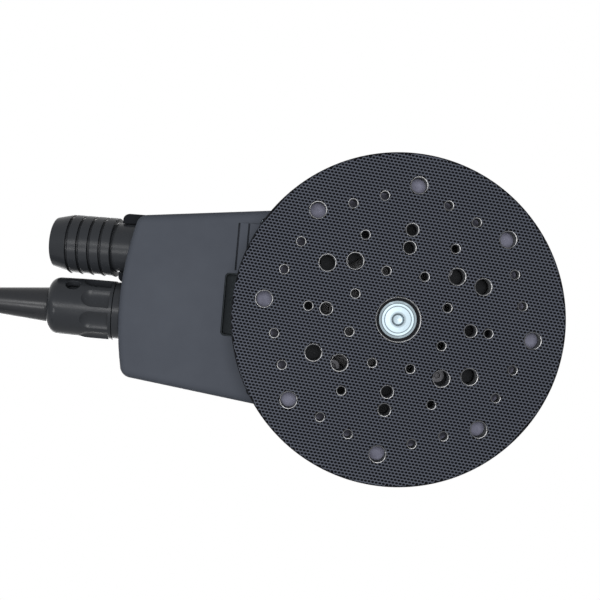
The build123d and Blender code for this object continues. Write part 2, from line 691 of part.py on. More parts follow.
# Shroud screws: they clamp the shroud and the base to the motor bell
with BuildPart() as shroud_screws:
    with BuildSketch(motor_plane(Z_BASE - SHROUD_WEB - SCREW_HEAD_HEIGHT)):
        with PolarLocations(SCREW_CIRCLE, 4, 45):
            Circle(SCREW_HEAD_RADIUS)
    extrude(amount=SCREW_HEAD_HEIGHT)
    with BuildSketch(motor_plane(Z_BASE - SHROUD_WEB)):
        with PolarLocations(SCREW_CIRCLE, 4, 45):
            Circle(SCREW_RADIUS)
    extrude(amount=SHROUD_WEB + 2 * BASE_THICKNESS)
    with BuildSketch(motor_plane(Z_BASE - SHROUD_WEB - SCREW_HEAD_HEIGHT)):
        with PolarLocations(SCREW_CIRCLE, 4, 45):
            RegularPolygon(SCREW_RADIUS, 6)
    extrude(amount=SCREW_HEAD_HEIGHT / 2, mode=Mode.SUBTRACT)
keep(shroud_screws, "shroud_screws")


def post_places():
    """Where the four housing screws stand, from the motor axis: two behind the head and two in front."""
    taper = math.radians(SIDE_TAPER)
    slant = math.radians(POST_SLANT)
    side = (FRONT_RADIUS - POST_BACK * math.sin(taper)) / math.cos(taper) - POST_RADIUS - POST_INSET
    front = FRONT_RADIUS - POST_RADIUS - POST_INSET
    places = [(-POST_BACK, side), (front * math.cos(slant), front * math.sin(slant))]
    return [(x, turned * y) for x, y in places for turned in (1, -1)]


COUNTERBORE_DEPTH = 2.4
BOARD_SIDE = 13.0
BOARD_LENGTH = 48.0
BOARD_WIDTH = 42.0
BOARD_THICKNESS = 1.6
BOARD_LIFT = 11.5
BOARD_CORNER = 5.0
BOARD_BACK = SOCKET_BACK - 3 - BOARD_LENGTH / 2
BOARD_POSTS = [
    (-BOARD_BACK + along * (BOARD_LENGTH / 2 - BOARD_CORNER), BOARD_SIDE + across * (BOARD_WIDTH / 2 - BOARD_CORNER))
    for along, across in ((1, 1), (-1, 1), (-1, -1))
]
Z_BOARD = Z_FLOOR + BOARD_LIFT

# Lower housing: the tray under the motor and the handle, with the roofed wrench pocket and, on its right,
# a bevelled ridge between two fine grooves
RIDGE_SIDE = Plane((MOTOR_X, -RIDGE_INNER, Z_BASE), x_dir=(-1, 0, 0), z_dir=(0, -1, 0))
with BuildPart() as lower_housing:
    extrude(handle_outline(0, Z_BASE), amount=LOWER_HEIGHT)
    fillet(lower_housing.faces().sort_by(Axis.Z)[0].edges(), BOTTOM_ROUND)
    extrude(handle_outline(WALL, Z_FLOOR), amount=LOWER_HEIGHT, mode=Mode.SUBTRACT)
    with BuildSketch(motor_plane(Z_FLOOR)):
        with Locations((-POCKET_REAR + POCKET_LENGTH / 2, 0)):
            Rectangle(POCKET_LENGTH + 2 * WALL, POCKET_WIDTH + 2 * WALL)
    extrude(amount=POCKET_DEPTH - BASE_THICKNESS + 2)
    with BuildSketch(motor_plane(Z_FLOOR)):
        with Locations(*post_places()):
            Circle(POST_RADIUS)
    extrude(amount=Z_SPLIT - Z_FLOOR)
    with BuildSketch(motor_plane(Z_FLOOR)):
        with Locations(*BOARD_POSTS):
            Circle(2.6)
    extrude(amount=BOARD_LIFT)
    with BuildSketch(RIDGE_SIDE):
        with BuildLine():
            Polyline(
                (RIDGE_BACK, 0),
                (RIDGE_BACK - RIDGE_WIDTH, RIDGE_STEP),
                (RIDGE_BACK - 3 * RIDGE_WIDTH, RIDGE_STEP),
                (RIDGE_BACK - 3 * RIDGE_WIDTH, -1),
                (RIDGE_BACK, -1),
                close=True,
            )
        make_face()
    extrude(amount=RIDGE_OUTER - RIDGE_INNER - BOTTOM_ROUND)
    with BuildSketch(RIDGE_SIDE):
        with Locations((RIDGE_BACK + RIDGE_LINE / 2, 0)):
            Rectangle(RIDGE_LINE, 2 * RIDGE_CUT)
        with Locations((RIDGE_BACK - RIDGE_WIDTH - RIDGE_LINE / 2, RIDGE_STEP)):
            Rectangle(RIDGE_LINE, 2 * RIDGE_CUT)
    extrude(amount=RIDGE_OUTER - RIDGE_INNER - BOTTOM_ROUND, mode=Mode.SUBTRACT)
    with BuildSketch(motor_plane(Z_BASE)) as pocket:
        with Locations((-POCKET_REAR + POCKET_LENGTH / 2, 0)):
            RectangleRounded(POCKET_LENGTH, POCKET_WIDTH, POCKET_CORNER)
    extrude(amount=POCKET_DEPTH, mode=Mode.SUBTRACT)
    with BuildSketch(motor_plane(Z_BASE)):
        Circle(BELL_INNER)
        with Locations((-DUCT_BACK, OUTLET_Y)):
            Circle(DUCT_BORE)
        with PolarLocations(SCREW_CIRCLE, 4, 45):
            Circle(SCREW_RADIUS + SEAT_GAP)
    extrude(amount=BASE_THICKNESS, mode=Mode.SUBTRACT)
    with BuildSketch(motor_plane(Z_BASE)):
        with Locations(*post_places()):
            Circle(SCREW_HEAD_RADIUS + 4 * SEAT_GAP)
    extrude(amount=COUNTERBORE_DEPTH, mode=Mode.SUBTRACT)
    with BuildSketch(motor_plane(Z_BASE)):
        with Locations(*post_places()):
            Circle(SCREW_RADIUS + SEAT_GAP)
    extrude(amount=LOWER_HEIGHT, mode=Mode.SUBTRACT)
    with BuildSketch(outlet_section(TUBE_ROOT)):
        Circle(OUTLET_NECK + RUN_GAP)
    extrude(amount=25, mode=Mode.SUBTRACT)
    with BuildSketch(tube_section(PLUG_Y, TUBE_ROOT)):
        Circle(SOCKET_RADIUS + SEAT_GAP)
    extrude(amount=25, mode=Mode.SUBTRACT)
keep(lower_housing, "lower_housing")

# Housing screws: driven from below, through the posts of the tray into the upper housing
SCREW_BITE = 11.0
with BuildPart() as housing_screws:
    with BuildSketch(motor_plane(Z_BASE + COUNTERBORE_DEPTH - SCREW_HEAD_HEIGHT)):
        with Locations(*post_places()):
            Circle(SCREW_HEAD_RADIUS)
            RegularPolygon(SCREW_RADIUS, 6, mode=Mode.SUBTRACT)
    extrude(amount=SCREW_HEAD_HEIGHT)
    with BuildSketch(motor_plane(Z_BASE + COUNTERBORE_DEPTH - SCREW_HEAD_HEIGHT / 2)):
        with Locations(*post_places()):
            Circle(SCREW_RADIUS + 0.05)
    extrude(amount=Z_SPLIT + SCREW_BITE - Z_BASE - COUNTERBORE_DEPTH)
keep(housing_screws, "housing_screws")


def handle_solid(inset):
    """The solid above the split: sides that draw in towards the top, the sloping handle and the round head."""
    shrink = HEAD_HEIGHT * math.tan(math.radians(SIDE_DRAFT))
    top = HANDLE_TOP.offset(-inset)
    with BuildPart() as solid:
        extrude(handle_outline(inset, Z_SPLIT), amount=1.2 * HEAD_HEIGHT, taper=SIDE_DRAFT)
        split(bisect_by=top, keep=Keep.BOTTOM)
        rim = solid.edges().filter_by(lambda e: abs((e @ 0.5 - top.origin).dot(top.z_dir)) < 0.01)
        if inset == 0:
            fillet(rim, TOP_ROUND)
        split(bisect_by=Plane.XY.offset(Z_HEAD), keep=Keep.BOTTOM)
        turn_motor(
            (0, Z_SPLIT),
            (FRONT_RADIUS - inset, Z_SPLIT),
            (FRONT_RADIUS - inset - shrink, Z_HEAD),
            (0, Z_HEAD),
        )
    return solid


def side_plane(side, back, up):
    """A plane on one side wall above the split; side is 1 for the left and -1 for the right, local X runs rearwards."""
    taper = math.radians(SIDE_TAPER)
    draft = math.radians(SIDE_DRAFT)
    outward = Vector(-math.sin(taper), side * math.cos(taper), 0)
    rearward = Vector(-math.cos(taper), -side * math.sin(taper), 0)
    normal = outward * math.cos(draft) + Vector(0, 0, math.sin(draft))
    upward = Vector(0, 0, math.cos(draft)) - outward * math.sin(draft)
    start = Vector(MOTOR_X, 0, Z_SPLIT) + outward * FRONT_RADIUS
    return Plane(start + rearward * back + upward * up, x_dir=rearward, z_dir=normal)


KEYPAD = side_plane(1, KEYPAD_BACK, KEYPAD_UP)
BUTTON_PLACES = {
    "power_button": -1.25 * BUTTON_PITCH,
    "speed_down_button": 0.0,
    "speed_up_button": BUTTON_PITCH,
}
LENS_PLACE = 1.65 * BUTTON_PITCH
BEZEL_SINK = 1.0
TROUGH_WIDTH = LEVER_WIDTH + 2 * LEVER_SIDE_GAP
TROUGH_MIDDLE = LEVER_REAR + LEVER_LENGTH / 2
TROUGH_LENGTH = LEVER_LENGTH + 2
PIN_PLACE = LEVER_REAR + LEVER_LENGTH - LEVER_PIN_INSET
PIN_DROP = 2.5

# The hollow of the upper housing, less the walls of the lever's trough and the screw posts
with BuildPart() as hollow:
    add(handle_solid(WALL).part)
    with BuildSketch(HANDLE_TOP):
        with Locations((TROUGH_MIDDLE, 0)):
            Rectangle(TROUGH_LENGTH + 2 * WALL, TROUGH_WIDTH + 2 * WALL)
    extrude(amount=-TROUGH_DEPTH - WALL, mode=Mode.SUBTRACT)
    with BuildSketch(motor_plane(Z_SPLIT)):
        with Locations(*post_places()):
            Circle(POST_RADIUS)
    extrude(amount=SCREW_BITE + 4, mode=Mode.SUBTRACT)

# The hood over the dust outlet: the upper half of a rounded collar
with BuildPart() as hood:
    turn(
        OUTLET_PROFILE,
        OUTLET_AXIS,
        (TUBE_ROOT, 0),
        (TUBE_ROOT, HOOD_RADIUS),
        (HOOD_REACH, HOOD_RADIUS),
        (HOOD_REACH, 0),
    )
    fillet(hood.edges().filter_by(GeomType.CIRCLE).sort_by(Axis.X)[0], HOOD_ROUND)
    split(bisect_by=Plane.XY.offset(Z_SPLIT), keep=Keep.TOP)

# Upper housing: the shell of the handle and the head, with the outlet's hood
with BuildPart() as upper_housing:
    add(handle_solid(0).part)
    add(hood.part)
    add(hollow.part, mode=Mode.SUBTRACT)
    with BuildSketch(outlet_section(TUBE_ROOT)):
        Circle(OUTLET_NECK + RUN_GAP)
    extrude(amount=25, mode=Mode.SUBTRACT)
    with BuildSketch(tube_section(PLUG_Y, TUBE_ROOT)):
        Circle(SOCKET_RADIUS + SEAT_GAP)
    extrude(amount=25, mode=Mode.SUBTRACT)
    with BuildSketch(tube_section(PLUG_Y, REAR_RADIUS + SEAT_GAP)):
        Circle(SOCKET_COLLAR + RUN_GAP)
    extrude(amount=HOOD_LENGTH, mode=Mode.SUBTRACT)
    with BuildSketch(HANDLE_TOP):
        with Locations((TROUGH_MIDDLE, 0)):
            RectangleRounded(TROUGH_LENGTH, TROUGH_WIDTH, 2)
    extrude(amount=-TROUGH_DEPTH, mode=Mode.SUBTRACT)
    with BuildSketch(LEVER_SIDE):
        with Locations((PIN_PLACE, -PIN_DROP)):
            Circle(LEVER_PIN_RADIUS + BEARING_GAP)
    extrude(amount=TROUGH_WIDTH / 2 + WALL - 0.6, both=True, mode=Mode.SUBTRACT)
    with BuildSketch(motor_plane(Z_SPLIT)):
        with Locations(*post_places()):
            Circle(SCREW_RADIUS + SEAT_GAP)
    extrude(amount=SCREW_BITE + 1, mode=Mode.SUBTRACT)
    with BuildSketch(KEYPAD):
        RectangleRounded(KEYPAD_LENGTH + 2 * SEAT_GAP, KEYPAD_HEIGHT + 2 * SEAT_GAP, KEYPAD_HEIGHT / 2.1)
    extrude(amount=-BEZEL_SINK, mode=Mode.SUBTRACT)
    with BuildSketch(KEYPAD):
        with Locations(*[(place, 0) for place in BUTTON_PLACES.values()]):
            Circle(BUTTON_RADIUS + RUN_GAP)
        with Locations((LENS_PLACE, 0)):
            Circle(LENS_RADIUS + SEAT_GAP)
    extrude(amount=-2 * WALL, mode=Mode.SUBTRACT)
    for number in range(VENTS):
        angle = math.radians((number - (VENTS - 1) / 2) * VENT_PITCH)
        radial = Vector(math.cos(angle), math.sin(angle), 0)
        middle = Vector(MOTOR_X, 0, Z_SPLIT + HEAD_HEIGHT / 2) + radial * (CAN_RADIUS + 4)
        with BuildSketch(Plane(middle, x_dir=(0, 0, 1), z_dir=radial)):
            SlotOverall(VENT_LENGTH, VENT_WIDTH)
        extrude(amount=20, mode=Mode.SUBTRACT)
    with BuildSketch(side_plane(-1, SIDE_VENT_BACK, KEYPAD_UP + 2)):
        with GridLocations(2.4 * VENT_WIDTH, 0, SIDE_VENTS, 1):
            SlotOverall(0.7 * VENT_LENGTH, VENT_WIDTH, rotation=70)
    extrude(amount=-2 * WALL, mode=Mode.SUBTRACT)
keep(upper_housing, "upper_housing")

# Head cap: a shallow dome on the head's rim, with a plain raised disc in the middle
HEAD_RADIUS = FRONT_RADIUS - HEAD_HEIGHT * math.tan(math.radians(SIDE_DRAFT))
CAP_EDGE = Z_HEAD + CAP_SIDE - 1
CAP_TOP = CAP_EDGE + CAP_RISE - 1.5
DOME_RADIUS = (HEAD_RADIUS**2 + (CAP_TOP - CAP_EDGE) ** 2) / (2 * (CAP_TOP - CAP_EDGE))


def dome_height(radius):
    return CAP_TOP - DOME_RADIUS + math.sqrt(DOME_RADIUS**2 - radius**2)


def dome_arc(first, last, shift):
    """An arc of the cap's dome between two radii, moved up by shift."""
    middle = (first + last) / 2
    return [(r, dome_height(r) + shift) for r in (first, middle, last)]


with BuildPart() as head_cap:
    with BuildSketch(MOTOR_PROFILE):
        with BuildLine():
            Line((HEAD_RADIUS - WALL, Z_HEAD), (HEAD_RADIUS, Z_HEAD))
            Line((HEAD_RADIUS, Z_HEAD), (HEAD_RADIUS, CAP_EDGE))
            ThreePointArc(*dome_arc(HEAD_RADIUS, BADGE_RADIUS, 0))
            Polyline(
                (BADGE_RADIUS, dome_height(BADGE_RADIUS)),
                (BADGE_RADIUS, CAP_TOP + 0.6),
                (BADGE_RADIUS - 0.8, CAP_TOP + 1.2),
                (0, CAP_TOP + 1.2),
                (0, CAP_TOP - WALL),
            )
            ThreePointArc(*dome_arc(0, HEAD_RADIUS - WALL, -WALL))
            Line((HEAD_RADIUS - WALL, dome_height(HEAD_RADIUS - WALL) - WALL), (HEAD_RADIUS - WALL, Z_HEAD))
        make_face()
    revolve(axis=MOTOR_AXIS)
keep(head_cap, "head_cap")

# Palm grip: the soft layer moulded over the cap
with BuildPart() as palm_grip:
    grip_inner = HEAD_RADIUS + BEARING_GAP
    grip_outer = HEAD_RADIUS + GRIP_THICKNESS
    shoulder = (HEAD_RADIUS - 2.0, CAP_EDGE + 4.0)
    crown = (BADGE_RADIUS + SEAT_GAP, CAP_TOP + 1.6)
    with BuildSketch(MOTOR_PROFILE):
        with BuildLine():
            Polyline((grip_inner, Z_HEAD + SEAT_GAP), (grip_outer, Z_HEAD + SEAT_GAP), (grip_outer, Z_HEAD + 1))
            ThreePointArc((grip_outer, Z_HEAD + 1), (grip_outer - 0.9, CAP_EDGE + 2), shoulder)
            ThreePointArc(shoulder, ((shoulder[0] + crown[0]) / 2, CAP_EDGE + 7.1), crown)
            Line(crown, (crown[0], dome_height(crown[0]) + BEARING_GAP))
            ThreePointArc(*dome_arc(crown[0], grip_inner, BEARING_GAP))
            Line((grip_inner, dome_height(grip_inner) + BEARING_GAP), (grip_inner, Z_HEAD + SEAT_GAP))
        make_face()
    revolve(axis=MOTOR_AXIS)
keep(palm_grip, "palm_grip")

# Lever: the paddle on top of the handle that starts the motor, hinged near the head
PIN_BOSS = LEVER_PIN_RADIUS + 1.6
UNDERSIDE = LEVER_PROUD - LEVER_THICKNESS
with BuildPart() as lever:
    with BuildSketch(LEVER_SIDE):
        with BuildLine():
            Line((LEVER_REAR, UNDERSIDE), (LEVER_REAR + LEVER_LENGTH, UNDERSIDE))
            Line((LEVER_REAR + LEVER_LENGTH, UNDERSIDE), (LEVER_REAR + LEVER_LENGTH, LEVER_PROUD - 2.5))
            ThreePointArc(
                (LEVER_REAR + LEVER_LENGTH, LEVER_PROUD - 2.5),
                (TROUGH_MIDDLE, LEVER_PROUD),
                (LEVER_REAR, LEVER_PROUD - 2.5),
            )
            Line((LEVER_REAR, LEVER_PROUD - 2.5), (LEVER_REAR, UNDERSIDE))
        make_face()
    extrude(amount=LEVER_WIDTH / 2, both=True)
    fillet(lever.faces().sort_by(Axis.Z)[-1].edges(), 1.8)
    with BuildSketch(LEVER_SIDE):
        with Locations((PIN_PLACE, -PIN_DROP)):
            Circle(PIN_BOSS)
    extrude(amount=LEVER_WIDTH / 2, both=True)
    with BuildSketch(LEVER_SIDE):
        with Locations((PIN_PLACE, -PIN_DROP)):
            Circle(LEVER_PIN_RADIUS + SEAT_GAP)
    extrude(amount=LEVER_WIDTH, both=True, mode=Mode.SUBTRACT)
keep(lever, "lever")

with BuildPart() as lever_pin:
    with BuildSketch(LEVER_SIDE):
        with Locations((PIN_PLACE, -PIN_DROP)):
            Circle(LEVER_PIN_RADIUS)
    extrude(amount=TROUGH_WIDTH / 2 + WALL - 0.7, both=True)
keep(lever_pin, "lever_pin")

# Lever spring: a leaf that stands on the trough's floor and holds the lever up
SPRING_LEAF = 0.6
SPRING_FOOT = TROUGH_MIDDLE - 2
with BuildPart() as lever_spring:
    leaf_top = UNDERSIDE - BEARING_GAP
    with BuildSketch(LEVER_SIDE.offset(-LEVER_WIDTH / 4)):
        with BuildLine():
            Polyline(
                (SPRING_FOOT + 10, -TROUGH_DEPTH),
                (SPRING_FOOT, -TROUGH_DEPTH),
                (SPRING_FOOT - 16, leaf_top - SPRING_LEAF),
                (SPRING_FOOT - 20, leaf_top - SPRING_LEAF),
                (SPRING_FOOT - 20, leaf_top),
                (SPRING_FOOT - 15.8, leaf_top),
                (SPRING_FOOT + 0.2, SPRING_LEAF - TROUGH_DEPTH),
                (SPRING_FOOT + 10, SPRING_LEAF - TROUGH_DEPTH),
                close=True,
            )
        make_face()
    extrude(amount=4, both=True)
keep(lever_spring, "lever_spring")

# Lever switch: the sealed switch on the trough's floor
with BuildPart() as lever_switch:
    with BuildSketch(HANDLE_TOP.offset(-TROUGH_DEPTH)):
        with Locations((TROUGH_MIDDLE - 4, -LEVER_WIDTH / 4)):
            RectangleRounded(13, 8, 1)
    extrude(amount=3.0)
    with BuildSketch(HANDLE_TOP.offset(-TROUGH_DEPTH)):
        with Locations((TROUGH_MIDDLE - 1, -LEVER_WIDTH / 4)):
            Circle(1.5)
    extrude(amount=3.5)
keep(lever_switch, "lever_switch")

# Keypad: a bezel sunk in the left side wall, with three buttons, a light and the small board behind them
with BuildPart() as keypad_bezel:
    with BuildSketch(KEYPAD.offset(-BEZEL_SINK)):
        RectangleRounded(KEYPAD_LENGTH, KEYPAD_HEIGHT, KEYPAD_HEIGHT / 2.1)
        with Locations(*[(place, 0) for place in BUTTON_PLACES.values()]):
            Circle(BUTTON_RADIUS + RUN_GAP, mode=Mode.SUBTRACT)
        with Locations((LENS_PLACE, 0)):
            Circle(LENS_RADIUS + SEAT_GAP, mode=Mode.SUBTRACT)
    extrude(amount=BEZEL_THICKNESS)
    fillet(keypad_bezel.faces().sort_by(Axis(KEYPAD.origin, KEYPAD.z_dir))[-1].outer_wire().edges(), 0.3)
keep(keypad_bezel, "keypad_bezel")

BUTTON_DEPTH = 3.8
for name, place in BUTTON_PLACES.items():
    with BuildPart() as button:
        with BuildSketch(KEYPAD.offset(-BUTTON_DEPTH)):
            with Locations((place, 0)):
                Circle(BUTTON_RADIUS)
        extrude(amount=BUTTON_DEPTH + BEZEL_THICKNESS - BEZEL_SINK + BUTTON_PROUD)
        fillet(button.faces().sort_by(Axis(KEYPAD.origin, KEYPAD.z_dir))[-1].edges(), 0.5)
    keep(button, name)

KEYPAD_BOARD_DEPTH = BUTTON_DEPTH + BUTTON_TRAVEL + 0.6
with BuildPart() as status_lens:
    with BuildSketch(KEYPAD.offset(-KEYPAD_BOARD_DEPTH)):
        with Locations((LENS_PLACE, 0)):
            Circle(LENS_RADIUS)
    extrude(amount=KEYPAD_BOARD_DEPTH + BEZEL_THICKNESS - BEZEL_SINK)
keep(status_lens, "status_lens")

with BuildPart() as keypad_board:
    with BuildSketch(KEYPAD.offset(-KEYPAD_BOARD_DEPTH)):
        RectangleRounded(KEYPAD_LENGTH - 1, KEYPAD_HEIGHT - 2, 1.5)
    extrude(amount=-BOARD_THICKNESS)
    with BuildSketch(KEYPAD.offset(-KEYPAD_BOARD_DEPTH)):
        with Locations((-0.62 * BUTTON_PITCH, 0), (0.5 * BUTTON_PITCH, 0)):
            Circle(1.0)
    extrude(amount=KEYPAD_BOARD_DEPTH - WALL - 0.05)
keep(keypad_board, "keypad_board")

# Motor electronics: the board on its posts, two capacitors and a finned heat sink
with BuildPart() as controller_board:
    with BuildSketch(motor_plane(Z_BOARD)):
        with Locations((-BOARD_BACK, BOARD_SIDE)):
            RectangleRounded(BOARD_LENGTH, BOARD_WIDTH, 2)
    extrude(amount=BOARD_THICKNESS)
keep(controller_board, "controller_board")

CAPACITOR_RADIUS = 5.0
with BuildPart() as capacitors:
    with BuildSketch(motor_plane(Z_BOARD + BOARD_THICKNESS)):
        with Locations((-BOARD_BACK - 16, BOARD_SIDE + 12), (-BOARD_BACK - 4, BOARD_SIDE + 12)):
            Circle(CAPACITOR_RADIUS)
    extrude(amount=2.1 * CAPACITOR_RADIUS)
keep(capacitors, "capacitors")

FIN_HEIGHT = 9.0
with BuildPart() as heat_sink:
    with BuildSketch(motor_plane(Z_BOARD + BOARD_THICKNESS)):
        with Locations((-BOARD_BACK + 8, BOARD_SIDE - 8)):
            Rectangle(26, 20)
    extrude(amount=2)
    with BuildSketch(motor_plane(Z_BOARD + BOARD_THICKNESS)):
        with Locations((-BOARD_BACK + 8, BOARD_SIDE - 8)):
            with GridLocations(0, 4.5, 1, 5):
                Rectangle(26, 1.5)
    extrude(amount=FIN_HEIGHT)
keep(heat_sink, "heat_sink")

# Dust duct: the elbow from the dust chamber to the outlet
with BuildPart() as dust_duct:
    with BuildLine() as duct_path:
        FilletPolyline(
            (MOTOR_X - DUCT_BACK, OUTLET_Y, Z_FLOOR),
            (MOTOR_X - DUCT_BACK, OUTLET_Y, TUBE_Z),
            (MOTOR_X - OUTLET_BEND, OUTLET_Y, TUBE_Z),
            OUTLET_START + OUTLET_WAY * DUCT_END,
            radius=DUCT_BEND,
        )
    with BuildSketch(Plane((MOTOR_X - DUCT_BACK, OUTLET_Y, Z_FLOOR))):
        Circle(DUCT_BORE + DUCT_WALL)
        Circle(DUCT_BORE, mode=Mode.SUBTRACT)
    sweep(path=duct_path.line)
keep(dust_duct, "dust_duct")

# Outlet seal: the ring between the duct's end and the swivelling outlet
with BuildPart() as outlet_seal:
    turn(
        OUTLET_PROFILE,
        OUTLET_AXIS,
        (OUTLET_INNER_END + 1, DUCT_BORE + DUCT_WALL + BEARING_GAP),
        (OUTLET_INNER_END + 1, OUTLET_BORE - RUN_GAP),
        (OUTLET_INNER_END + 4, OUTLET_BORE - RUN_GAP),
        (OUTLET_INNER_END + 4, DUCT_BORE + DUCT_WALL + BEARING_GAP),
    )
keep(outlet_seal, "outlet_seal")

# Dust outlet: a swivelling spigot with grip rings for the extraction hose
FLANGE_BACK = OUTLET_INNER_END + 2.5
CUFF_BACK = OUTLET_REACH - CUFF_LENGTH
RINGS_BACK = CUFF_BACK - RIBS * RIB_PITCH
with BuildPart() as dust_outlet:
    turn(
        OUTLET_PROFILE,
        OUTLET_AXIS,
        (OUTLET_INNER_END, OUTLET_BORE),
        (OUTLET_INNER_END, OUTLET_NECK),
        (FLANGE_BACK, OUTLET_NECK),
        (FLANGE_BACK, OUTLET_FLANGE),
        (FLANGE_BACK + 2.5, OUTLET_FLANGE),
        (FLANGE_BACK + 2.5, OUTLET_NECK),
        (RINGS_BACK, OUTLET_NECK),
        (RINGS_BACK, OUTLET_RADIUS),
        (CUFF_BACK, OUTLET_RADIUS),
        (OUTLET_REACH, OUTLET_TIP),
        (OUTLET_REACH, OUTLET_BORE),
    )
    fillet(dust_outlet.edges().filter_by(GeomType.CIRCLE).group_by(Axis.X)[0], 0.8)
    for number in range(RIBS):
        back = CUFF_BACK - number * RIB_PITCH
        turn(
            OUTLET_PROFILE,
            OUTLET_AXIS,
            (back, OUTLET_RADIUS + 1),
            (back, OUTLET_RADIUS - GROOVE_DEPTH),
            (back - GROOVE_WIDTH * 0.6, OUTLET_RADIUS - GROOVE_DEPTH),
            (back - GROOVE_WIDTH, OUTLET_RADIUS),
            (back - GROOVE_WIDTH, OUTLET_RADIUS + 1),
            mode=Mode.SUBTRACT,
        )
keep(dust_outlet, "dust_outlet")

# Inlet socket: the fixed half of the cable connector, with its contact pins
PIN_CIRCLE = 6.0
CONTACT_RADIUS = 1.2
with BuildPart() as inlet_socket:
    turn(
        tube_profile(PLUG_Y),
        tube_axis(PLUG_Y),
        (SOCKET_BACK, 0),
        (SOCKET_BACK, SOCKET_RADIUS),
        (SOCKET_BACK + 3, SOCKET_RADIUS),
        (SOCKET_BACK + 3, SOCKET_RADIUS + 1.5),
        (SOCKET_BACK + 6, SOCKET_RADIUS + 1.5),
        (SOCKET_BACK + 6, SOCKET_RADIUS),
        (REAR_RADIUS + RUN_GAP, SOCKET_RADIUS),
        (REAR_RADIUS + RUN_GAP, SOCKET_COLLAR),
        (PLUG_FRONT - RUN_GAP, SOCKET_COLLAR),
        (PLUG_FRONT - RUN_GAP, 0),
    )
    with BuildSketch(tube_section(PLUG_Y, PLUG_FRONT - RUN_GAP)):
        with PolarLocations(PIN_CIRCLE, 3, 90):
            Circle(CONTACT_RADIUS + BEARING_GAP)
    extrude(amount=-10, mode=Mode.SUBTRACT)
keep(inlet_socket, "inlet_socket")

with BuildPart() as inlet_pins:
    with BuildSketch(tube_section(PLUG_Y, PLUG_FRONT - RUN_GAP - 10)):
        with PolarLocations(PIN_CIRCLE, 3, 90):
            Circle(CONTACT_RADIUS)
    extrude(amount=20)
keep(inlet_pins, "inlet_pins")

# Plug core: the body of the cable plug inside its locking sleeve
CORE_END = PLUG_REACH - 5
with BuildPart() as plug_core:
    with BuildSketch(tube_section(PLUG_Y, PLUG_FRONT - RUN_GAP + BEARING_GAP)):
        Circle(PLUG_BORE - RUN_GAP)
    extrude(amount=CORE_END - PLUG_FRONT + RUN_GAP - BEARING_GAP)
    with BuildSketch(tube_section(PLUG_Y, PLUG_FRONT - RUN_GAP)):
        with PolarLocations(PIN_CIRCLE, 3, 90):
            Circle(CONTACT_RADIUS + BEARING_GAP)
    extrude(amount=11, mode=Mode.SUBTRACT)
keep(plug_core, "plug_core")

# Lock sleeve: the turning sleeve of the cable plug, with finger flutes and a window for its mark
with BuildPart() as lock_sleeve:
    with BuildSketch(tube_profile(PLUG_Y)):
        with BuildLine():
            Polyline(
                (PLUG_FRONT, PLUG_BORE),
                (PLUG_FRONT, PLUG_RADIUS),
                (PLUG_FRONT + 15, PLUG_RADIUS),
                (PLUG_REACH - 5, PLUG_SHOULDER),
            )
            ThreePointArc(
                (PLUG_REACH - 5, PLUG_SHOULDER),
                (PLUG_REACH - 1.4, PLUG_SHOULDER - 1.5),
                (PLUG_REACH, BOOT_ROOT + 1.2),
            )
            Polyline(
                (PLUG_REACH, BOOT_ROOT + 1.2),
                (PLUG_REACH, BOOT_ROOT + RUN_GAP + 0.2),
                (CORE_END + RUN_GAP, BOOT_ROOT + RUN_GAP + 0.2),
                (CORE_END + RUN_GAP, PLUG_BORE),
                (PLUG_FRONT, PLUG_BORE),
            )
        make_face()
    revolve(axis=tube_axis(PLUG_Y))
    flute_centre = PLUG_RADIUS + FLUTE_RADIUS - FLUTE_DEPTH
    flute_end = math.sqrt(2 * FLUTE_RADIUS * FLUTE_DEPTH - FLUTE_DEPTH**2)
    for number in range(FLUTES):
        angle = math.radians((number + 0.5) * 360 / FLUTES)
        side = Vector(0, -math.sin(angle), math.cos(angle))
        start = Vector(MOTOR_X - PLUG_FRONT - 1.4, PLUG_Y, TUBE_Z) + side * flute_centre
        with BuildSketch(Plane(start, x_dir=side, z_dir=(-1, 0, 0))):
            Circle(FLUTE_RADIUS)
        extrude(amount=FLUTE_LENGTH - flute_end, mode=Mode.SUBTRACT)
        with Locations(start + Vector(flute_end - FLUTE_LENGTH, 0, 0)):
            Sphere(FLUTE_RADIUS, mode=Mode.SUBTRACT)
    slant = math.radians(WINDOW_ANGLE)
    facing = Vector(0, -math.sin(slant), -math.cos(slant))
    window = Vector(MOTOR_X - PLUG_FRONT - WINDOW_BACK, PLUG_Y, TUBE_Z) + facing * (PLUG_BORE - 0.4)
    with BuildSketch(Plane(window, x_dir=(-1, 0, 0), z_dir=facing)):
        SlotOverall(WINDOW_LENGTH, WINDOW_WIDTH)
    extrude(amount=8, mode=Mode.SUBTRACT)
keep(lock_sleeve, "lock_sleeve")

# Cable boot: the tapering strain relief
with BuildPart() as cable_boot:
    turn(
        tube_profile(PLUG_Y),
        tube_axis(PLUG_Y),
        (CORE_END + BEARING_GAP, 0),
        (CORE_END + BEARING_GAP, BOOT_ROOT),
        (PLUG_REACH + 1, BOOT_ROOT),
        (PLUG_REACH + 24, (BOOT_ROOT + BOOT_TIP) / 2 - 0.3),
        (BOOT_REACH, BOOT_TIP),
        (BOOT_REACH, 0),
    )
keep(cable_boot, "cable_boot")

# Mains lead: it leaves the boot, drops to the floor in a slow curve and lies in a tied coil with the plug beside it
Z_CORD = CORD_RADIUS + TIE_THICKNESS + SEAT_GAP
CORD_START = MOTOR_X - BOOT_REACH
LAYER_TURN = 360 * COIL_TURNS_PER_LAYER + 45
CLIMB = 50.0
COIL_STEPS = 12
COIL_LEAD = 2 * CORD_RADIUS
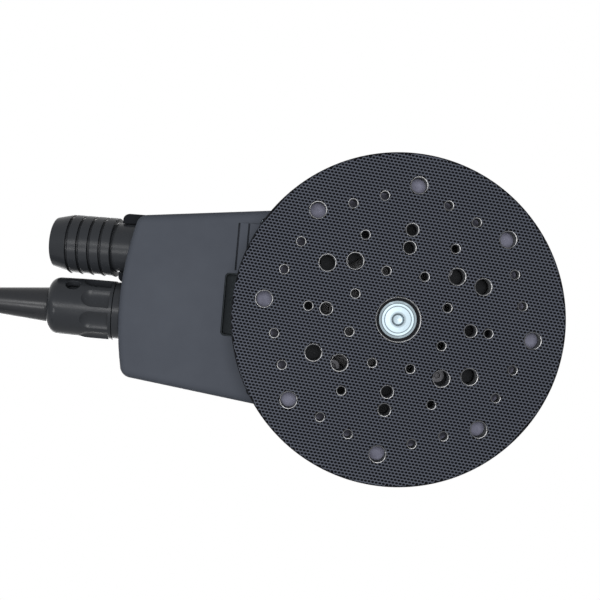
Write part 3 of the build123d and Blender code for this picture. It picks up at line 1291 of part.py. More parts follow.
# The lead's route: distances behind the boot, and the share of the drop and of the sideways shift reached there
LEAD_ROUTE = [(0, 0), (26, 0), (51, 0.26), (76, 0.74), (101, 1), (122, 1)]
COIL_X = CORD_START - LEAD_ROUTE[-1][0] - COIL_LEAD
COIL_Y = PLUG_Y - LEAD_SHIFT + COIL_OUTER


def cord(path):
    """Sweeps the cord's round section along a path."""
    with BuildSketch(Plane(path @ 0, z_dir=path % 0)) as section:
        Circle(CORD_RADIUS)
    sweep(section.sketch, path=path)


def easy_bends(name, points):
    """A path through points whose bends are as wide as the runs beside them allow."""
    radii = []
    for before, corner, after in zip(points, points[1:], points[2:]):
        half_turn = math.radians((corner - before).get_angle(after - corner)) / 2
        shorter = min((corner - before).length, (after - corner).length)
        radii.append(0.45 * shorter / math.tan(half_turn))
    print(f"Bend radii of the {name}:", [round(radius, 1) for radius in radii])
    return FilletPolyline(*points, radius=radii)


def coil_radius(angle):
    """The distance from the coil's centre after winding through an angle: in, out, in and out again."""
    layer = min(int(angle // LAYER_TURN), COIL_LAYERS - 1)
    wound = angle - layer * LAYER_TURN
    if layer % 2:
        wound = LAYER_TURN - wound
    return COIL_OUTER - COIL_PITCH * wound / 360


def coil_point(angle):
    layer = min(int(angle // LAYER_TURN), COIL_LAYERS)
    turned = math.radians(-90 - angle)
    radius = coil_radius(angle)
    rise = Z_CORD + COIL_PITCH * min(layer, COIL_LAYERS - 1)
    return Vector(COIL_X + radius * math.cos(turned), COIL_Y + radius * math.sin(turned), rise)


def coil_heading(angle):
    """The level direction of the cord in the coil; both ends leave it square to the radius."""
    if angle in (0, COIL_LAYERS * LAYER_TURN):
        turned = math.radians(180 - angle)
        return Vector(math.cos(turned), math.sin(turned), 0)
    step = 0.5
    ahead = coil_point(angle + step)
    behind = coil_point(angle - step)
    return Vector(ahead.X - behind.X, ahead.Y - behind.Y, 0).normalized()


def biarc(start, start_heading, end, end_heading):
    """Two arcs that leave one point and reach another in the given directions."""
    chord = end - start
    both = start_heading + end_heading
    a = 2 * (1 - start_heading.dot(end_heading))
    b = 2 * chord.dot(both)
    c = -chord.dot(chord)
    if a < 1e-9:
        reach = -c / b
    else:
        reach = (-b + math.sqrt(b * b - 4 * a * c)) / (2 * a)
    first = start + start_heading * reach
    second = end - end_heading * reach
    joint = (first + second) * 0.5
    return [
        Edge.make_tangent_arc(start, start_heading, joint),
        Edge.make_tangent_arc(joint, (second - first).normalized(), end),
    ]


with BuildPart() as mains_cord:
    with BuildLine() as lead_path:
        drop = TUBE_Z - Z_CORD
        lead_points = [
            Vector(CORD_START - back, PLUG_Y - share * LEAD_SHIFT, TUBE_Z - share * drop) for back, share in LEAD_ROUTE
        ]
        easy_bends("lead", lead_points)
    cord(lead_path.line)
keep(mains_cord, "mains_cord")

# The windings turn at one level and climb to the next over the last part of each layer
stops = []
for layer in range(COIL_LAYERS):
    level = LAYER_TURN - (CLIMB if layer < COIL_LAYERS - 1 else 0)
    stops += [layer * LAYER_TURN + level * step / COIL_STEPS for step in range(COIL_STEPS + 1)]
stops.append(COIL_LAYERS * LAYER_TURN)
stops = sorted(set(stops))
with BuildPart() as cord_coil:
    entry = coil_point(0)
    windings = [Edge.make_line(entry + Vector(COIL_LEAD, 0, 0), entry)]
    for before, after in zip(stops, stops[1:]):
        windings += biarc(coil_point(before), coil_heading(before), coil_point(after), coil_heading(after))
    COIL_END = coil_point(stops[-1])
    windings.append(Edge.make_line(COIL_END, COIL_END + Vector(COIL_LEAD, 0, 0)))
    cord(Wire(windings))
keep(cord_coil, "cord_coil")

# The least gap between the cord's own turns, measured on points along the path; neighbours on one turn don't count
marks = [tuple(edge @ (share / 24)) for edge in windings for share in range(24)]
half_turn = 24 * len(windings) // (2 * int(COIL_LAYERS * LAYER_TURN / 360))
spans = [math.dist(mark, other) for place, mark in enumerate(marks) for other in marks[place + half_turn :]]
print(f"Least gap between the coil's turns: {min(spans) - 2 * CORD_RADIUS:.2f} mm")

MAINS_PLUG_RADIUS = 17.5
TAIL_START = COIL_END + Vector(COIL_LEAD, 0, 0)
PLUG_START = TAIL_START + Vector(90, -TAIL_SHIFT, MAINS_PLUG_RADIUS - COIL_END.Z)
with BuildPart() as cord_tail:
    with BuildLine() as tail_path:
        easy_bends("tail", [TAIL_START, TAIL_START + Vector(26, 0, 0), PLUG_START - Vector(24, 0, 0), PLUG_START])
    cord(tail_path.line)
keep(cord_tail, "cord_tail")

# Cord tie: a strap round all the windings at one place
TIE_INNER = COIL_OUTER - COIL_PITCH * LAYER_TURN / 360 - CORD_RADIUS - 1
TIE_OUTER = COIL_OUTER + CORD_RADIUS + 1
TIE_TOP = Z_CORD + COIL_PITCH * (COIL_LAYERS - 1) + CORD_RADIUS + SEAT_GAP
with BuildPart() as cord_tie:
    lean = math.radians(TIE_ANGLE)
    spoke = Vector(math.cos(lean), math.sin(lean), 0)
    across = Vector(-math.sin(lean), math.cos(lean), 0)
    middle = Vector(COIL_X, COIL_Y, TIE_TOP / 2 + TIE_THICKNESS / 2) + spoke * (TIE_INNER + TIE_OUTER) / 2
    with BuildSketch(Plane(middle, x_dir=spoke, z_dir=across)):
        wide = TIE_OUTER - TIE_INNER
        tall = TIE_TOP - TIE_THICKNESS
        RectangleRounded(wide + 2 * TIE_THICKNESS, tall + 2 * TIE_THICKNESS, 4)
        RectangleRounded(wide, tall, 4 - TIE_THICKNESS, mode=Mode.SUBTRACT)
    extrude(amount=TIE_WIDTH / 2, both=True)
keep(cord_tie, "cord_tie")

# Mains plug: a round moulded plug with two pins
MAINS_PLUG_LENGTH = 38.0
MAINS_PIN_RADIUS = 2.4
MAINS_PIN_SPREAD = 19.0
MAINS_PIN_LENGTH = 19.0
PLUG_PROFILE = Plane(PLUG_START, x_dir=(1, 0, 0), z_dir=(0, -1, 0))
PLUG_AXIS = Axis(PLUG_START, (1, 0, 0))
PLUG_FACE = Plane(PLUG_START + Vector(MAINS_PLUG_LENGTH, 0, 0), x_dir=(0, 1, 0), z_dir=(1, 0, 0))
with BuildPart() as mains_plug:
    turn(
        PLUG_PROFILE,
        PLUG_AXIS,
        (0, 0),
        (0, CORD_RADIUS + 1.5),
        (MAINS_PLUG_LENGTH * 0.3, CORD_RADIUS + 4),
        (MAINS_PLUG_LENGTH * 0.6, MAINS_PLUG_RADIUS * 0.85),
        (MAINS_PLUG_LENGTH * 0.7, MAINS_PLUG_RADIUS),
        (MAINS_PLUG_LENGTH, MAINS_PLUG_RADIUS),
        (MAINS_PLUG_LENGTH, 0),
    )
    with BuildSketch(PLUG_FACE):
        with GridLocations(MAINS_PIN_SPREAD, 0, 2, 1):
            Circle(MAINS_PIN_RADIUS + BEARING_GAP)
    extrude(amount=-10, mode=Mode.SUBTRACT)
keep(mains_plug, "mains_plug")

with BuildPart() as mains_pins:
    with BuildSketch(PLUG_FACE.offset(-10)):
        with GridLocations(MAINS_PIN_SPREAD, 0, 2, 1):
            Circle(MAINS_PIN_RADIUS)
    extrude(amount=10 + MAINS_PIN_LENGTH)
    fillet(mains_pins.faces().group_by(Axis.X)[-1].edges(), 1.0)
keep(mains_pins, "mains_pins")
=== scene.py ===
# %% [markdown]
# # A random orbital sander, seen from below
# This lesson dresses a machine whose working parts already exist as solids. The solids are loaded
# first and never moved; everything that follows adds finishes, textile, cable and light around
# them. Blender works in metres here; lists of places and small sizes are written in millimetres and
# multiplied by MM. The pad's working face lies on the floor at height zero, and the handle points
# to minus X.

import math

import bmesh
import bpy
from mathutils import Matrix, Vector


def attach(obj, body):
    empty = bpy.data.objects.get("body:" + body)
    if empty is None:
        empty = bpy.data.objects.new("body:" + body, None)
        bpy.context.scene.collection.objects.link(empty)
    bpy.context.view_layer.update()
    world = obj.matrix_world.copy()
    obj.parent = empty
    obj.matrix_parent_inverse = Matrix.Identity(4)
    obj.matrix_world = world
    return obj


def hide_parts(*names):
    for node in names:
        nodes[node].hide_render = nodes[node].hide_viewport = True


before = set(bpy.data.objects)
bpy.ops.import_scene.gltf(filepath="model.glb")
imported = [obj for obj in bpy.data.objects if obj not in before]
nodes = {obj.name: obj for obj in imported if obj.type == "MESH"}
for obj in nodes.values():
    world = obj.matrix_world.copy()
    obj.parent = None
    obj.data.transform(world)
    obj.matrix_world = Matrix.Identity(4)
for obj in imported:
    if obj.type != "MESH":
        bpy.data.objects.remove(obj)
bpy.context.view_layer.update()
MM = 0.001

# %% [markdown]
# ## Camera
# The photographer stood square to the pad, about four pad widths away, with the machine turned a
# few degrees in the picture. A camera could be aimed with a constraint, but three written
# directions are easier to check: right, up and back. The camera's own Z axis points back towards
# the photographer.

# %% Place the photographer's camera
UP = Vector((0.0, 0.0, 1.0))
MACHINE_TURN = math.radians(5.0)
CAMERA_PLACE = (-0.0440, -0.0049, -0.600)
SENSOR_WIDTH = 36.0
FOCAL_LENGTH = 81.6
NEAREST_SEEN = 0.01


def add_object(name, data):
    """A new object made from its data and put into the scene."""
    made = bpy.data.objects.new(name, data)
    bpy.context.scene.collection.objects.link(made)
    return made


camera_data = bpy.data.cameras.new("photo_camera")
camera_data.sensor_width = SENSOR_WIDTH
camera_data.lens = FOCAL_LENGTH
camera_data.clip_start = NEAREST_SEEN
camera = add_object("photo_camera", camera_data)
picture_right = Vector((math.cos(MACHINE_TURN), -math.sin(MACHINE_TURN), 0.0))
picture_up = Vector((-math.sin(MACHINE_TURN), -math.cos(MACHINE_TURN), 0.0))
picture_back = -UP
camera.matrix_world = Matrix((picture_right, picture_up, picture_back)).transposed().to_4x4()
camera.matrix_world.translation = CAMERA_PLACE
bpy.context.scene.camera = camera
print("camera at", tuple(round(c, 4) for c in camera.matrix_world.translation))

# %% [markdown]
# ## Floor, world and lamps
# The machine stands on a pale floor, and yet the photograph looks up at it. A floor that is only
# there from above solves this: rays that meet its back pass through, and so do shadow rays, so that
# lamps under the floor can light the pad. Light that bounces passes too, or a bright floor would
# wash out the underside. From above it stays an ordinary floor that keeps the machine's shadow, and
# it fades into the white further out, so no horizon shows.


# %% Helpers for node trees
def add_node(tree, kind, **settings):
    """A new node with its settings; a setting whose name is an input's sets that input."""
    node = tree.nodes.new(kind)
    for name, value in settings.items():
        if hasattr(node, name):
            setattr(node, name, value)
        else:
            node.inputs[name.replace("_", " ").title()].default_value = value
    return node


def any_of(tree, sockets):
    """The greatest of several values, which is one where any of them is one."""
    greatest = sockets[0]
    for socket in sockets[1:]:
        either = add_node(tree, "ShaderNodeMath", operation="MAXIMUM")
        tree.links.new(greatest, either.inputs[0])
        tree.links.new(socket, either.inputs[1])
        greatest = either.outputs[0]
    return greatest


def mix_shaders(tree, share, first, second, target):
    """Mixes two shaders by a share and leads the result to the target socket."""
    mix = add_node(tree, "ShaderNodeMixShader")
    tree.links.new(share, mix.inputs["Fac"])
    tree.links.new(first.outputs[0], mix.inputs[1])
    tree.links.new(second.outputs[0], mix.inputs[2])
    tree.links.new(mix.outputs[0], target)


# %% A floor that shows from above only
FLOOR_TONE = (0.8, 0.8, 0.8, 1)
FLOOR_ROUGHNESS = 0.9
FLOOR_SIZE = 4.0
FLOOR_DROP = 0.4 * MM
FADE_START, FADE_END = 0.55, 1.50
PASSING_RAYS = ("Is Shadow Ray", "Is Diffuse Ray", "Is Glossy Ray", "Is Transmission Ray")

bpy.context.scene.view_settings.view_transform = "Standard"
floor_paint = bpy.data.materials.new("pale_floor")
floor_paint.use_nodes = True
floor_tree = floor_paint.node_tree
floor_shader = floor_tree.nodes["Principled BSDF"]
floor_shader.inputs["Base Color"].default_value = FLOOR_TONE
floor_shader.inputs["Roughness"].default_value = FLOOR_ROUGHNESS
floor_clear = add_node(floor_tree, "ShaderNodeBsdfTransparent")
floor_side = add_node(floor_tree, "ShaderNodeNewGeometry")
floor_rays = add_node(floor_tree, "ShaderNodeLightPath")
floor_place = add_node(floor_tree, "ShaderNodeTexCoord")
floor_reach = add_node(floor_tree, "ShaderNodeVectorMath", operation="LENGTH")
floor_fade = add_node(floor_tree, "ShaderNodeMapRange", interpolation_type="SMOOTHSTEP")
floor_fade.inputs["From Min"].default_value = FADE_START
floor_fade.inputs["From Max"].default_value = FADE_END
floor_tree.links.new(floor_place.outputs["Object"], floor_reach.inputs[0])
floor_tree.links.new(floor_reach.outputs["Value"], floor_fade.inputs["Value"])
open_where = [floor_side.outputs["Backfacing"]]
open_where += [floor_rays.outputs[kind] for kind in PASSING_RAYS]
open_where.append(floor_fade.outputs[0])
floor_surface = floor_tree.nodes["Material Output"].inputs["Surface"]
mix_shaders(floor_tree, any_of(floor_tree, open_where), floor_shader, floor_clear, floor_surface)

floor_mesh = bpy.data.meshes.new("floor")
floor_shape = bmesh.new()
bmesh.ops.create_grid(floor_shape, x_segments=1, y_segments=1, size=FLOOR_SIZE)
bmesh.ops.translate(floor_shape, verts=floor_shape.verts, vec=(0, 0, -FLOOR_DROP))
floor_shape.to_mesh(floor_mesh)
floor_shape.free()
floor = add_object("floor", floor_mesh)
floor_mesh.materials.append(floor_paint)
print("floor fades out between", FADE_START, "and", FADE_END)

# %% A white world for the eye, a soft one for the light
SOFT_TINT = (0.9, 0.95, 1.0, 1)
SOFT_STRENGTH = 0.14
WHITE = (1, 1, 1, 1)
EYE_RAYS = ("Is Camera Ray", "Is Glossy Ray", "Is Transmission Ray")

world = bpy.data.worlds.new("studio")
bpy.context.scene.world = world
world.use_nodes = True
sky_tree = world.node_tree
sky_tree.nodes.clear()
sky_rays = add_node(sky_tree, "ShaderNodeLightPath")
sky_soft = add_node(sky_tree, "ShaderNodeBackground", strength=SOFT_STRENGTH)
sky_soft.inputs["Color"].default_value = SOFT_TINT
sky_white = add_node(sky_tree, "ShaderNodeBackground", strength=1.0)
sky_white.inputs["Color"].default_value = WHITE
sky_out = add_node(sky_tree, "ShaderNodeOutputWorld")
seen = any_of(sky_tree, [sky_rays.outputs[kind] for kind in EYE_RAYS])
mix_shaders(sky_tree, seen, sky_soft, sky_white, sky_out.inputs["Surface"])
print("world light:", SOFT_STRENGTH)


# %% Soft lamps above and below the floor
def soft_lamp(name, place, target, size, power, depth=None):
    """An area lamp at a place, turned towards a target; with a depth it is a strip, and else a disc."""
    data = bpy.data.lights.new(name, "AREA")
    data.shape = "RECTANGLE" if depth else "DISK"
    data.size = depth or size
    data.size_y = size
    data.energy = power
    lamp = add_object(name, data)
    aim = Vector(target) - Vector(place)
    lamp.matrix_world = Matrix.Translation(place) @ aim.to_track_quat("-Z", "Y").to_matrix().to_4x4()
    lamp.visible_camera = False


soft_lamp("key_above", (0.35, -0.75, 1.25), (-0.1, 0, 0), size=0.9, power=13)
soft_lamp("fill_above", (-0.60, 0.50, 1.25), (-0.1, 0, 0), size=0.9, power=9)
soft_lamp("key_below", (0.00, -0.03, -0.90), (-0.03, 0, 0), size=0.35, power=5.1)
# The strip leans along the handle, and so its long side lies along the handle too.
soft_lamp("strip_below", (-0.50, -0.07, -0.80), (-0.15, -0.01, 0.04), size=0.70, power=4.0, depth=0.16)
soft_lamp("glint_below", (-0.55, 0.30, -0.75), (0, 0, 0), size=0.14, power=1.6)
print("lamps:", len(bpy.data.lights))

# %% [markdown]
# ## The mains lead
# Only the boot shows in the photograph. The nearly four metres of cable behind it drop to the floor
# and lie in a tied coil out of view. The lead is one smooth NURBS line: its control points are the
# corners of the route, and the coil adds sixteen points a turn that wind in and out, layer upon
# layer. A quadratic line runs inside its control points, so the coil's points stand a little
# further out. The points carry the cable's radius, and the bevel is one metre per unit of it,
# because Blender measures a curve's box with the points' own radius.

# %% Draw the lead as one smooth line
LEAD_RADIUS = 4.0 * MM
COIL_CENTRE = Vector((-342.5, 45.8, 0.0)) * MM
COIL_OUTER = 60.0 * MM
COIL_PITCH = 9.2 * MM
COIL_BASE = 5.3 * MM
COIL_START = -90.0
LAYERS = 4
LAYER_TURN = 1125.0
CLIMB_TURN = 50.0
TURN_STEP = 22.5
BOOT_TO_COIL = [
    (-212.5, 7.8, 48.0),
    (-238.5, 7.8, 48.0),
    (-263.5, 2.08, 36.9),
    (-288.5, -8.48, 16.4),
    (-313.5, -14.2, 5.3),
    (-334.5, -14.2, 5.3),
]
COIL_TO_PLUG = [
    (-334.5, 105.8, 32.9),
    (-308.5, 105.8, 32.9),
    (-268.5, 90.8, 17.5),
    (-244.5, 90.8, 17.5),
]


def coil_point(angle):
    """A point of the coil after winding through an angle in degrees."""
    layer = min(int(angle // LAYER_TURN), LAYERS - 1)
    wound = angle - layer * LAYER_TURN
    climb = max(0.0, wound - (LAYER_TURN - CLIMB_TURN)) / CLIMB_TURN if layer < LAYERS - 1 else 0.0
    lift = COIL_BASE + COIL_PITCH * (layer + climb * climb * (3 - 2 * climb))
    inward = LAYER_TURN - wound if layer % 2 else wound
    radius = (COIL_OUTER - COIL_PITCH * inward / 360.0) / math.cos(math.radians(TURN_STEP / 2))
    turned = math.radians(COIL_START - angle)
    return COIL_CENTRE + Vector((radius * math.cos(turned), radius * math.sin(turned), lift))


turn_steps = int(LAYERS * LAYER_TURN / TURN_STEP)
route = [Vector(place) * MM for place in BOOT_TO_COIL]
route += [coil_point(step * TURN_STEP) for step in range(turn_steps + 1)]
route += [Vector(place) * MM for place in COIL_TO_PLUG]
lead_curve = bpy.data.curves.new("mains_lead", "CURVE")
lead_curve.dimensions = "3D"
lead_curve.bevel_depth = 1.0
lead_curve.bevel_resolution = 5
lead_curve.resolution_u = 5
lead_curve.use_fill_caps = True
spline = lead_curve.splines.new("NURBS")
spline.points.add(len(route) - 1)
for control, place in zip(spline.points, route):
    control.co = (*place, 1.0)
    control.radius = LEAD_RADIUS
spline.order_u = 3
spline.use_endpoint_u = True
lead = add_object("mains_lead", lead_curve)
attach(lead, "housing")
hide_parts("mains_cord", "cord_coil", "cord_tail")

# %% [markdown]
# ## The strap round the coil
# A woven strap holds the windings together. It could be bent along a curve, but a rounded loop is
# only a rectangle whose corners are bevelled, drawn out to the strap's width and given a thickness.
# A second short layer is the tongue that closes it.


# %% Helpers for meshes
def add_piece(name, shape, body):
    """Turns a finished bmesh into an object that rides on a body of the machine."""
    mesh = bpy.data.meshes.new(name)
    shape.to_mesh(mesh)
    shape.free()
    piece = add_object(name, mesh)
    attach(piece, body)
    print(name, "faces:", len(mesh.polygons))
    return piece


def verts_of(made):
    """The vertices among what an operator returned."""
    return [part for part in made["geom"] if isinstance(part, bmesh.types.BMVert)]


def whole(shape):
    """Everything in the bmesh."""
    return shape.verts[:] + shape.edges[:] + shape.faces[:]


def round_off(shape, geom, radius, segments, affect="EDGES"):
    """Bevels edges or corners to a round section, and returns what the operator made."""
    return bmesh.ops.bevel(
        shape, geom=geom, offset=radius, affect=affect, segments=segments, profile=0.5, material=-1
    )


# %% Bend the strap round the windings
STRAP_ANGLE = math.radians(250.0)
STRAP_WIDTH = 14.0 * MM
STRAP_THICKNESS = 1.1 * MM
STRAP_INNER = 26.25 * MM
STRAP_OUTER = 65.0 * MM
STRAP_TOP = 37.0 * MM
STRAP_FLOOR = 1.2 * MM
STRAP_CORNER = 3.4 * MM

spoke = Vector((math.cos(STRAP_ANGLE), math.sin(STRAP_ANGLE), 0.0))
strap_middle = COIL_CENTRE + spoke * (STRAP_INNER + STRAP_OUTER) / 2
strap_middle.z = (STRAP_TOP + STRAP_FLOOR) / 2
strap_frame = Matrix((spoke, UP, -UP.cross(spoke))).transposed().to_4x4()
strap_frame.translation = strap_middle
strap_shape = bmesh.new()
bmesh.ops.create_grid(strap_shape, x_segments=1, y_segments=1, size=0.5)
strap_size = Vector((STRAP_OUTER - STRAP_INNER, STRAP_TOP - STRAP_FLOOR, 1.0))
bmesh.ops.scale(strap_shape, verts=strap_shape.verts, vec=strap_size)
round_off(strap_shape, strap_shape.verts[:], STRAP_CORNER, segments=6, affect="VERTICES")
bmesh.ops.delete(strap_shape, geom=strap_shape.faces[:], context="FACES_ONLY")
drawn = bmesh.ops.extrude_edge_only(strap_shape, edges=strap_shape.edges[:])
bmesh.ops.translate(strap_shape, verts=verts_of(drawn), vec=(0, 0, STRAP_WIDTH))
bmesh.ops.translate(strap_shape, verts=strap_shape.verts, vec=(0, 0, -STRAP_WIDTH / 2))
bmesh.ops.recalc_face_normals(strap_shape, faces=strap_shape.faces)
bmesh.ops.solidify(strap_shape, geom=strap_shape.faces[:], thickness=-STRAP_THICKNESS)
print("strap loop:", tuple(round(side / MM, 1) for side in strap_size.xy), "mm")

# %% Lay the tongue on top and put the strap in place
ORIGIN = Vector((0.0, 0.0, 0.0))
TONGUE_LENGTH = 22.0 * MM
TONGUE_SHIFT = 3.0 * MM
TONGUE_GAP = 0.1 * MM

tongue = bmesh.ops.create_grid(strap_shape, x_segments=6, y_segments=1, size=0.5)["verts"]
bmesh.ops.scale(strap_shape, verts=tongue, vec=(TONGUE_LENGTH, STRAP_WIDTH, 1.0))
lay_flat = Matrix.Rotation(math.radians(-90), 3, "X")
bmesh.ops.rotate(strap_shape, verts=tongue, cent=ORIGIN, matrix=lay_flat)
tongue_lift = (STRAP_TOP - STRAP_FLOOR) / 2 + STRAP_THICKNESS + TONGUE_GAP
bmesh.ops.translate(strap_shape, verts=tongue, vec=(TONGUE_SHIFT, tongue_lift, 0))
tongue_faces = list({face for vert in tongue for face in vert.link_faces})
bmesh.ops.recalc_face_normals(strap_shape, faces=tongue_faces)
bmesh.ops.solidify(strap_shape, geom=tongue_faces, thickness=STRAP_THICKNESS)
bmesh.ops.transform(strap_shape, matrix=strap_frame, verts=strap_shape.verts)
bmesh.ops.recalc_face_normals(strap_shape, faces=strap_shape.faces)
strap = add_piece("coil_strap", strap_shape, "housing")
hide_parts("cord_tie")

# %% [markdown]
# ## The hook face of the pad
# The working face is a hook textile: a grey web of tiny hooks with dark gaps in staggered rows, cut
# through by rings of dust holes. A painted pattern would look flat from the side, so the web is
# real. One six-sided cell with a pit is made, doubled into a row and the row into a field; cells
# that meet a hole or the rim are taken away, and narrow fused rims close the edges.

# %% Where the dust holes are
PAD_RADIUS = 74.0 * MM
PAD_TURN = math.radians(3.9)
RECESS_RADIUS = 9.6 * MM
LARGE, MEDIUM, SMALL = 3.5 * MM, 2.6 * MM, 1.8 * MM
# Each ring: its radius in millimetres, the holes' radius, how many there are, and the angle of the
# first one in degrees.
HOLE_RINGS = [
    (22.25, SMALL, 8, 22.5),
    (32.2, LARGE, 4, 45.0),
    (32.2, MEDIUM, 4, 0.0),
    (40.2, SMALL, 6, 0.0),
    (40.2, LARGE, 2, 30.0),
    (40.2, LARGE, 2, 150.0),
    (40.2, MEDIUM, 2, 90.0),
    (60.0, LARGE, 8, 0.0),
    (55.1, SMALL, 8, 15.0),
    (55.1, SMALL, 8, 30.0),
]
dust_holes = [(ORIGIN, RECESS_RADIUS)]
for ring, radius, count, first in HOLE_RINGS:
    for number in range(count):
        angle = PAD_TURN + math.radians(first + number * 360.0 / count)
        dust_holes.append((Vector((math.cos(angle), math.sin(angle), 0.0)) * ring * MM, radius))
print("openings in the pad:", len(dust_holes))

# %% One cell of the web, with its pit
CELL_ALONG = 1.611 * MM
CELL_ACROSS = 1.354 * MM
PIT_INSET = 0.36 * MM
PIT_SLOPE = 0.1 * MM
PIT_STRETCH = 1.28
PIT_DEPTH = 0.5 * MM

web_shape = bmesh.new()
bmesh.ops.create_circle(web_shape, cap_ends=True, segments=6, radius=CELL_ALONG / math.sqrt(3))
cell_squeeze = CELL_ACROSS / (CELL_ALONG * math.sqrt(3) / 2)
bmesh.ops.scale(web_shape, verts=web_shape.verts, vec=(1.0, cell_squeeze, 1.0))
cell_faces = web_shape.faces[:]
bmesh.ops.inset_individual(web_shape, faces=cell_faces, thickness=PIT_INSET, depth=-PIT_SLOPE)
bmesh.ops.scale(web_shape, verts=cell_faces[0].verts[:], vec=(PIT_STRETCH, 1.0, 1.0))
pit = bmesh.ops.extrude_discrete_faces(web_shape, faces=cell_faces)["faces"]
bmesh.ops.translate(web_shape, verts=pit[0].verts[:], vec=(0, 0, -PIT_DEPTH))
bmesh.ops.delete(web_shape, geom=pit, context="FACES_ONLY")
print("faces of a cell:", len(web_shape.faces))

# %% The web of hooks, doubled from the cell and cut to the pad
WEB_TURN = math.radians(5.6)
RIM_WIDTH = 0.45 * MM
CUT_MARGIN = 0.5 * RIM_WIDTH
CELL_MERGE = 0.01 * MM
ROW_DOUBLINGS = 7
FIELD_DOUBLINGS = 6


def double_up(shape, times, step):
    """Doubles everything in the bmesh again and again, each time twice as far along."""
    for round_number in range(times):
        copy = bmesh.ops.duplicate(shape, geom=whole(shape))
        bmesh.ops.translate(shape, verts=verts_of(copy), vec=step * 2**round_number)


double_up(web_shape, ROW_DOUBLINGS, Vector((CELL_ALONG, 0, 0)))
next_row = bmesh.ops.duplicate(web_shape, geom=whole(web_shape))
bmesh.ops.translate(web_shape, verts=verts_of(next_row), vec=(CELL_ALONG / 2, CELL_ACROSS, 0))
double_up(web_shape, FIELD_DOUBLINGS, Vector((0, 2 * CELL_ACROSS, 0)))
middle_along = (2**ROW_DOUBLINGS - 0.5) / 2 * CELL_ALONG
middle_across = (2 * 2**FIELD_DOUBLINGS - 1) / 2 * CELL_ACROSS
bmesh.ops.translate(web_shape, verts=web_shape.verts, vec=(-middle_along, -middle_across, 0))
FACE_DOWN = Matrix.Rotation(math.pi, 3, "X")
web_turn = Matrix.Rotation(WEB_TURN, 3, "Z") @ FACE_DOWN
bmesh.ops.rotate(web_shape, verts=web_shape.verts, cent=ORIGIN, matrix=web_turn)
beyond = [vert for vert in web_shape.verts if vert.co.xy.length > PAD_RADIUS - CUT_MARGIN]
bmesh.ops.delete(web_shape, geom=beyond, context="VERTS")
cut_away = []
for vert in web_shape.verts:
    for centre, radius in dust_holes:
        if (vert.co.xy - centre.xy).length < radius + CUT_MARGIN:
            cut_away.append(vert)
            break
bmesh.ops.delete(web_shape, geom=cut_away, context="VERTS")
bmesh.ops.remove_doubles(web_shape, verts=web_shape.verts, dist=CELL_MERGE)
web = add_piece("hook_web", web_shape, "pad")

# %% The fused rims of the holes
RIM_OVERLAP = 0.05 * MM
RIM_DEPTH = 1.4 * MM
LIP_ROUND = 0.3 * MM
LIP_ANGLE = 1.0
SIDES_PER_MM = 10
FEWEST_SIDES = 20

rim_shape = bmesh.new()
for centre, radius in dust_holes:
    sides = max(FEWEST_SIDES, int(radius / MM * SIDES_PER_MM))
    place = Matrix.Translation((centre.x, -centre.y, 0.0))
    outside = radius + RIM_WIDTH - RIM_OVERLAP
    bmesh.ops.create_circle(rim_shape, cap_ends=True, segments=sides, radius=outside, matrix=place)
rim_caps = rim_shape.faces[:]
bmesh.ops.inset_individual(rim_shape, faces=rim_caps, thickness=RIM_WIDTH, depth=0.0)
rim_floors = bmesh.ops.extrude_discrete_faces(rim_shape, faces=rim_caps)["faces"]
floor_verts = list({vert for face in rim_floors for vert in face.verts})
bmesh.ops.translate(rim_shape, verts=floor_verts, vec=(0, 0, -RIM_DEPTH))
bmesh.ops.delete(rim_shape, geom=rim_floors, context="FACES_ONLY")
lips = []
for edge in rim_shape.edges:
    if len(edge.link_faces) == 2 and edge.calc_face_angle() > LIP_ANGLE:
        lips.append(edge)
round_off(rim_shape, lips, LIP_ROUND, segments=3)
for face in rim_shape.faces:
    face.smooth = True
bmesh.ops.rotate(rim_shape, verts=rim_shape.verts, cent=ORIGIN, matrix=FACE_DOWN)
rims = add_piece("hook_rims", rim_shape, "pad")

# %% The cut edge of the face, turned on a lathe
EDGE_PROFILE = [(73.5, 0.1), (73.8, 0.1), (74.0, 0.4), (74.0, 1.4)]
EDGE_STEPS = 200
FACING_UP = 0.1

edge_shape = bmesh.new()
edge_points = [edge_shape.verts.new((radius * MM, 0.0, height * MM)) for radius, height in EDGE_PROFILE]
edge_lines = [edge_shape.edges.new(pair) for pair in zip(edge_points, edge_points[1:])]
bmesh.ops.spin(
    edge_shape,
    geom=edge_points + edge_lines,
    cent=ORIGIN,
    axis=UP,
    angle=2 * math.pi,
    steps=EDGE_STEPS,
    use_merge=True,
)
bmesh.ops.recalc_face_normals(edge_shape, faces=edge_shape.faces)
first_face = edge_shape.faces[:][0]
faces_inwards = first_face.normal.xy.dot(first_face.calc_center_median().xy) < 0
if faces_inwards or first_face.normal.z > FACING_UP:
    bmesh.ops.reverse_faces(edge_shape, faces=edge_shape.faces)
cut_edge = add_piece("hook_edge", edge_shape, "pad")

# %% [markdown]
# ## The textile's ground and the foam under it
# Behind the hooks lies a woven ground, coloured near-black as painted shade for the pits between the
# hooks, and behind that a soft foam body whose rim bulges a little. Both have the outline and the dust
# holes of their solids already, so a merged copy of each mesh is the shortest way: the ground's lower
# face moves up to make room for the hooks, and the foam is sliced into levels whose rim is pushed
# outwards.

# %% The woven ground
GROUND_SHRINK = 0.999
LOWER_FACE = 0.1 * MM
SOLID_MERGE = 0.002 * MM


def merged_copy(node):
    """A bmesh of a solid of the machine, with its loose triangles merged."""
    copy = bmesh.new()
    copy.from_mesh(nodes[node].data)
    bmesh.ops.remove_doubles(copy, verts=copy.verts, dist=SOLID_MERGE)
    return copy


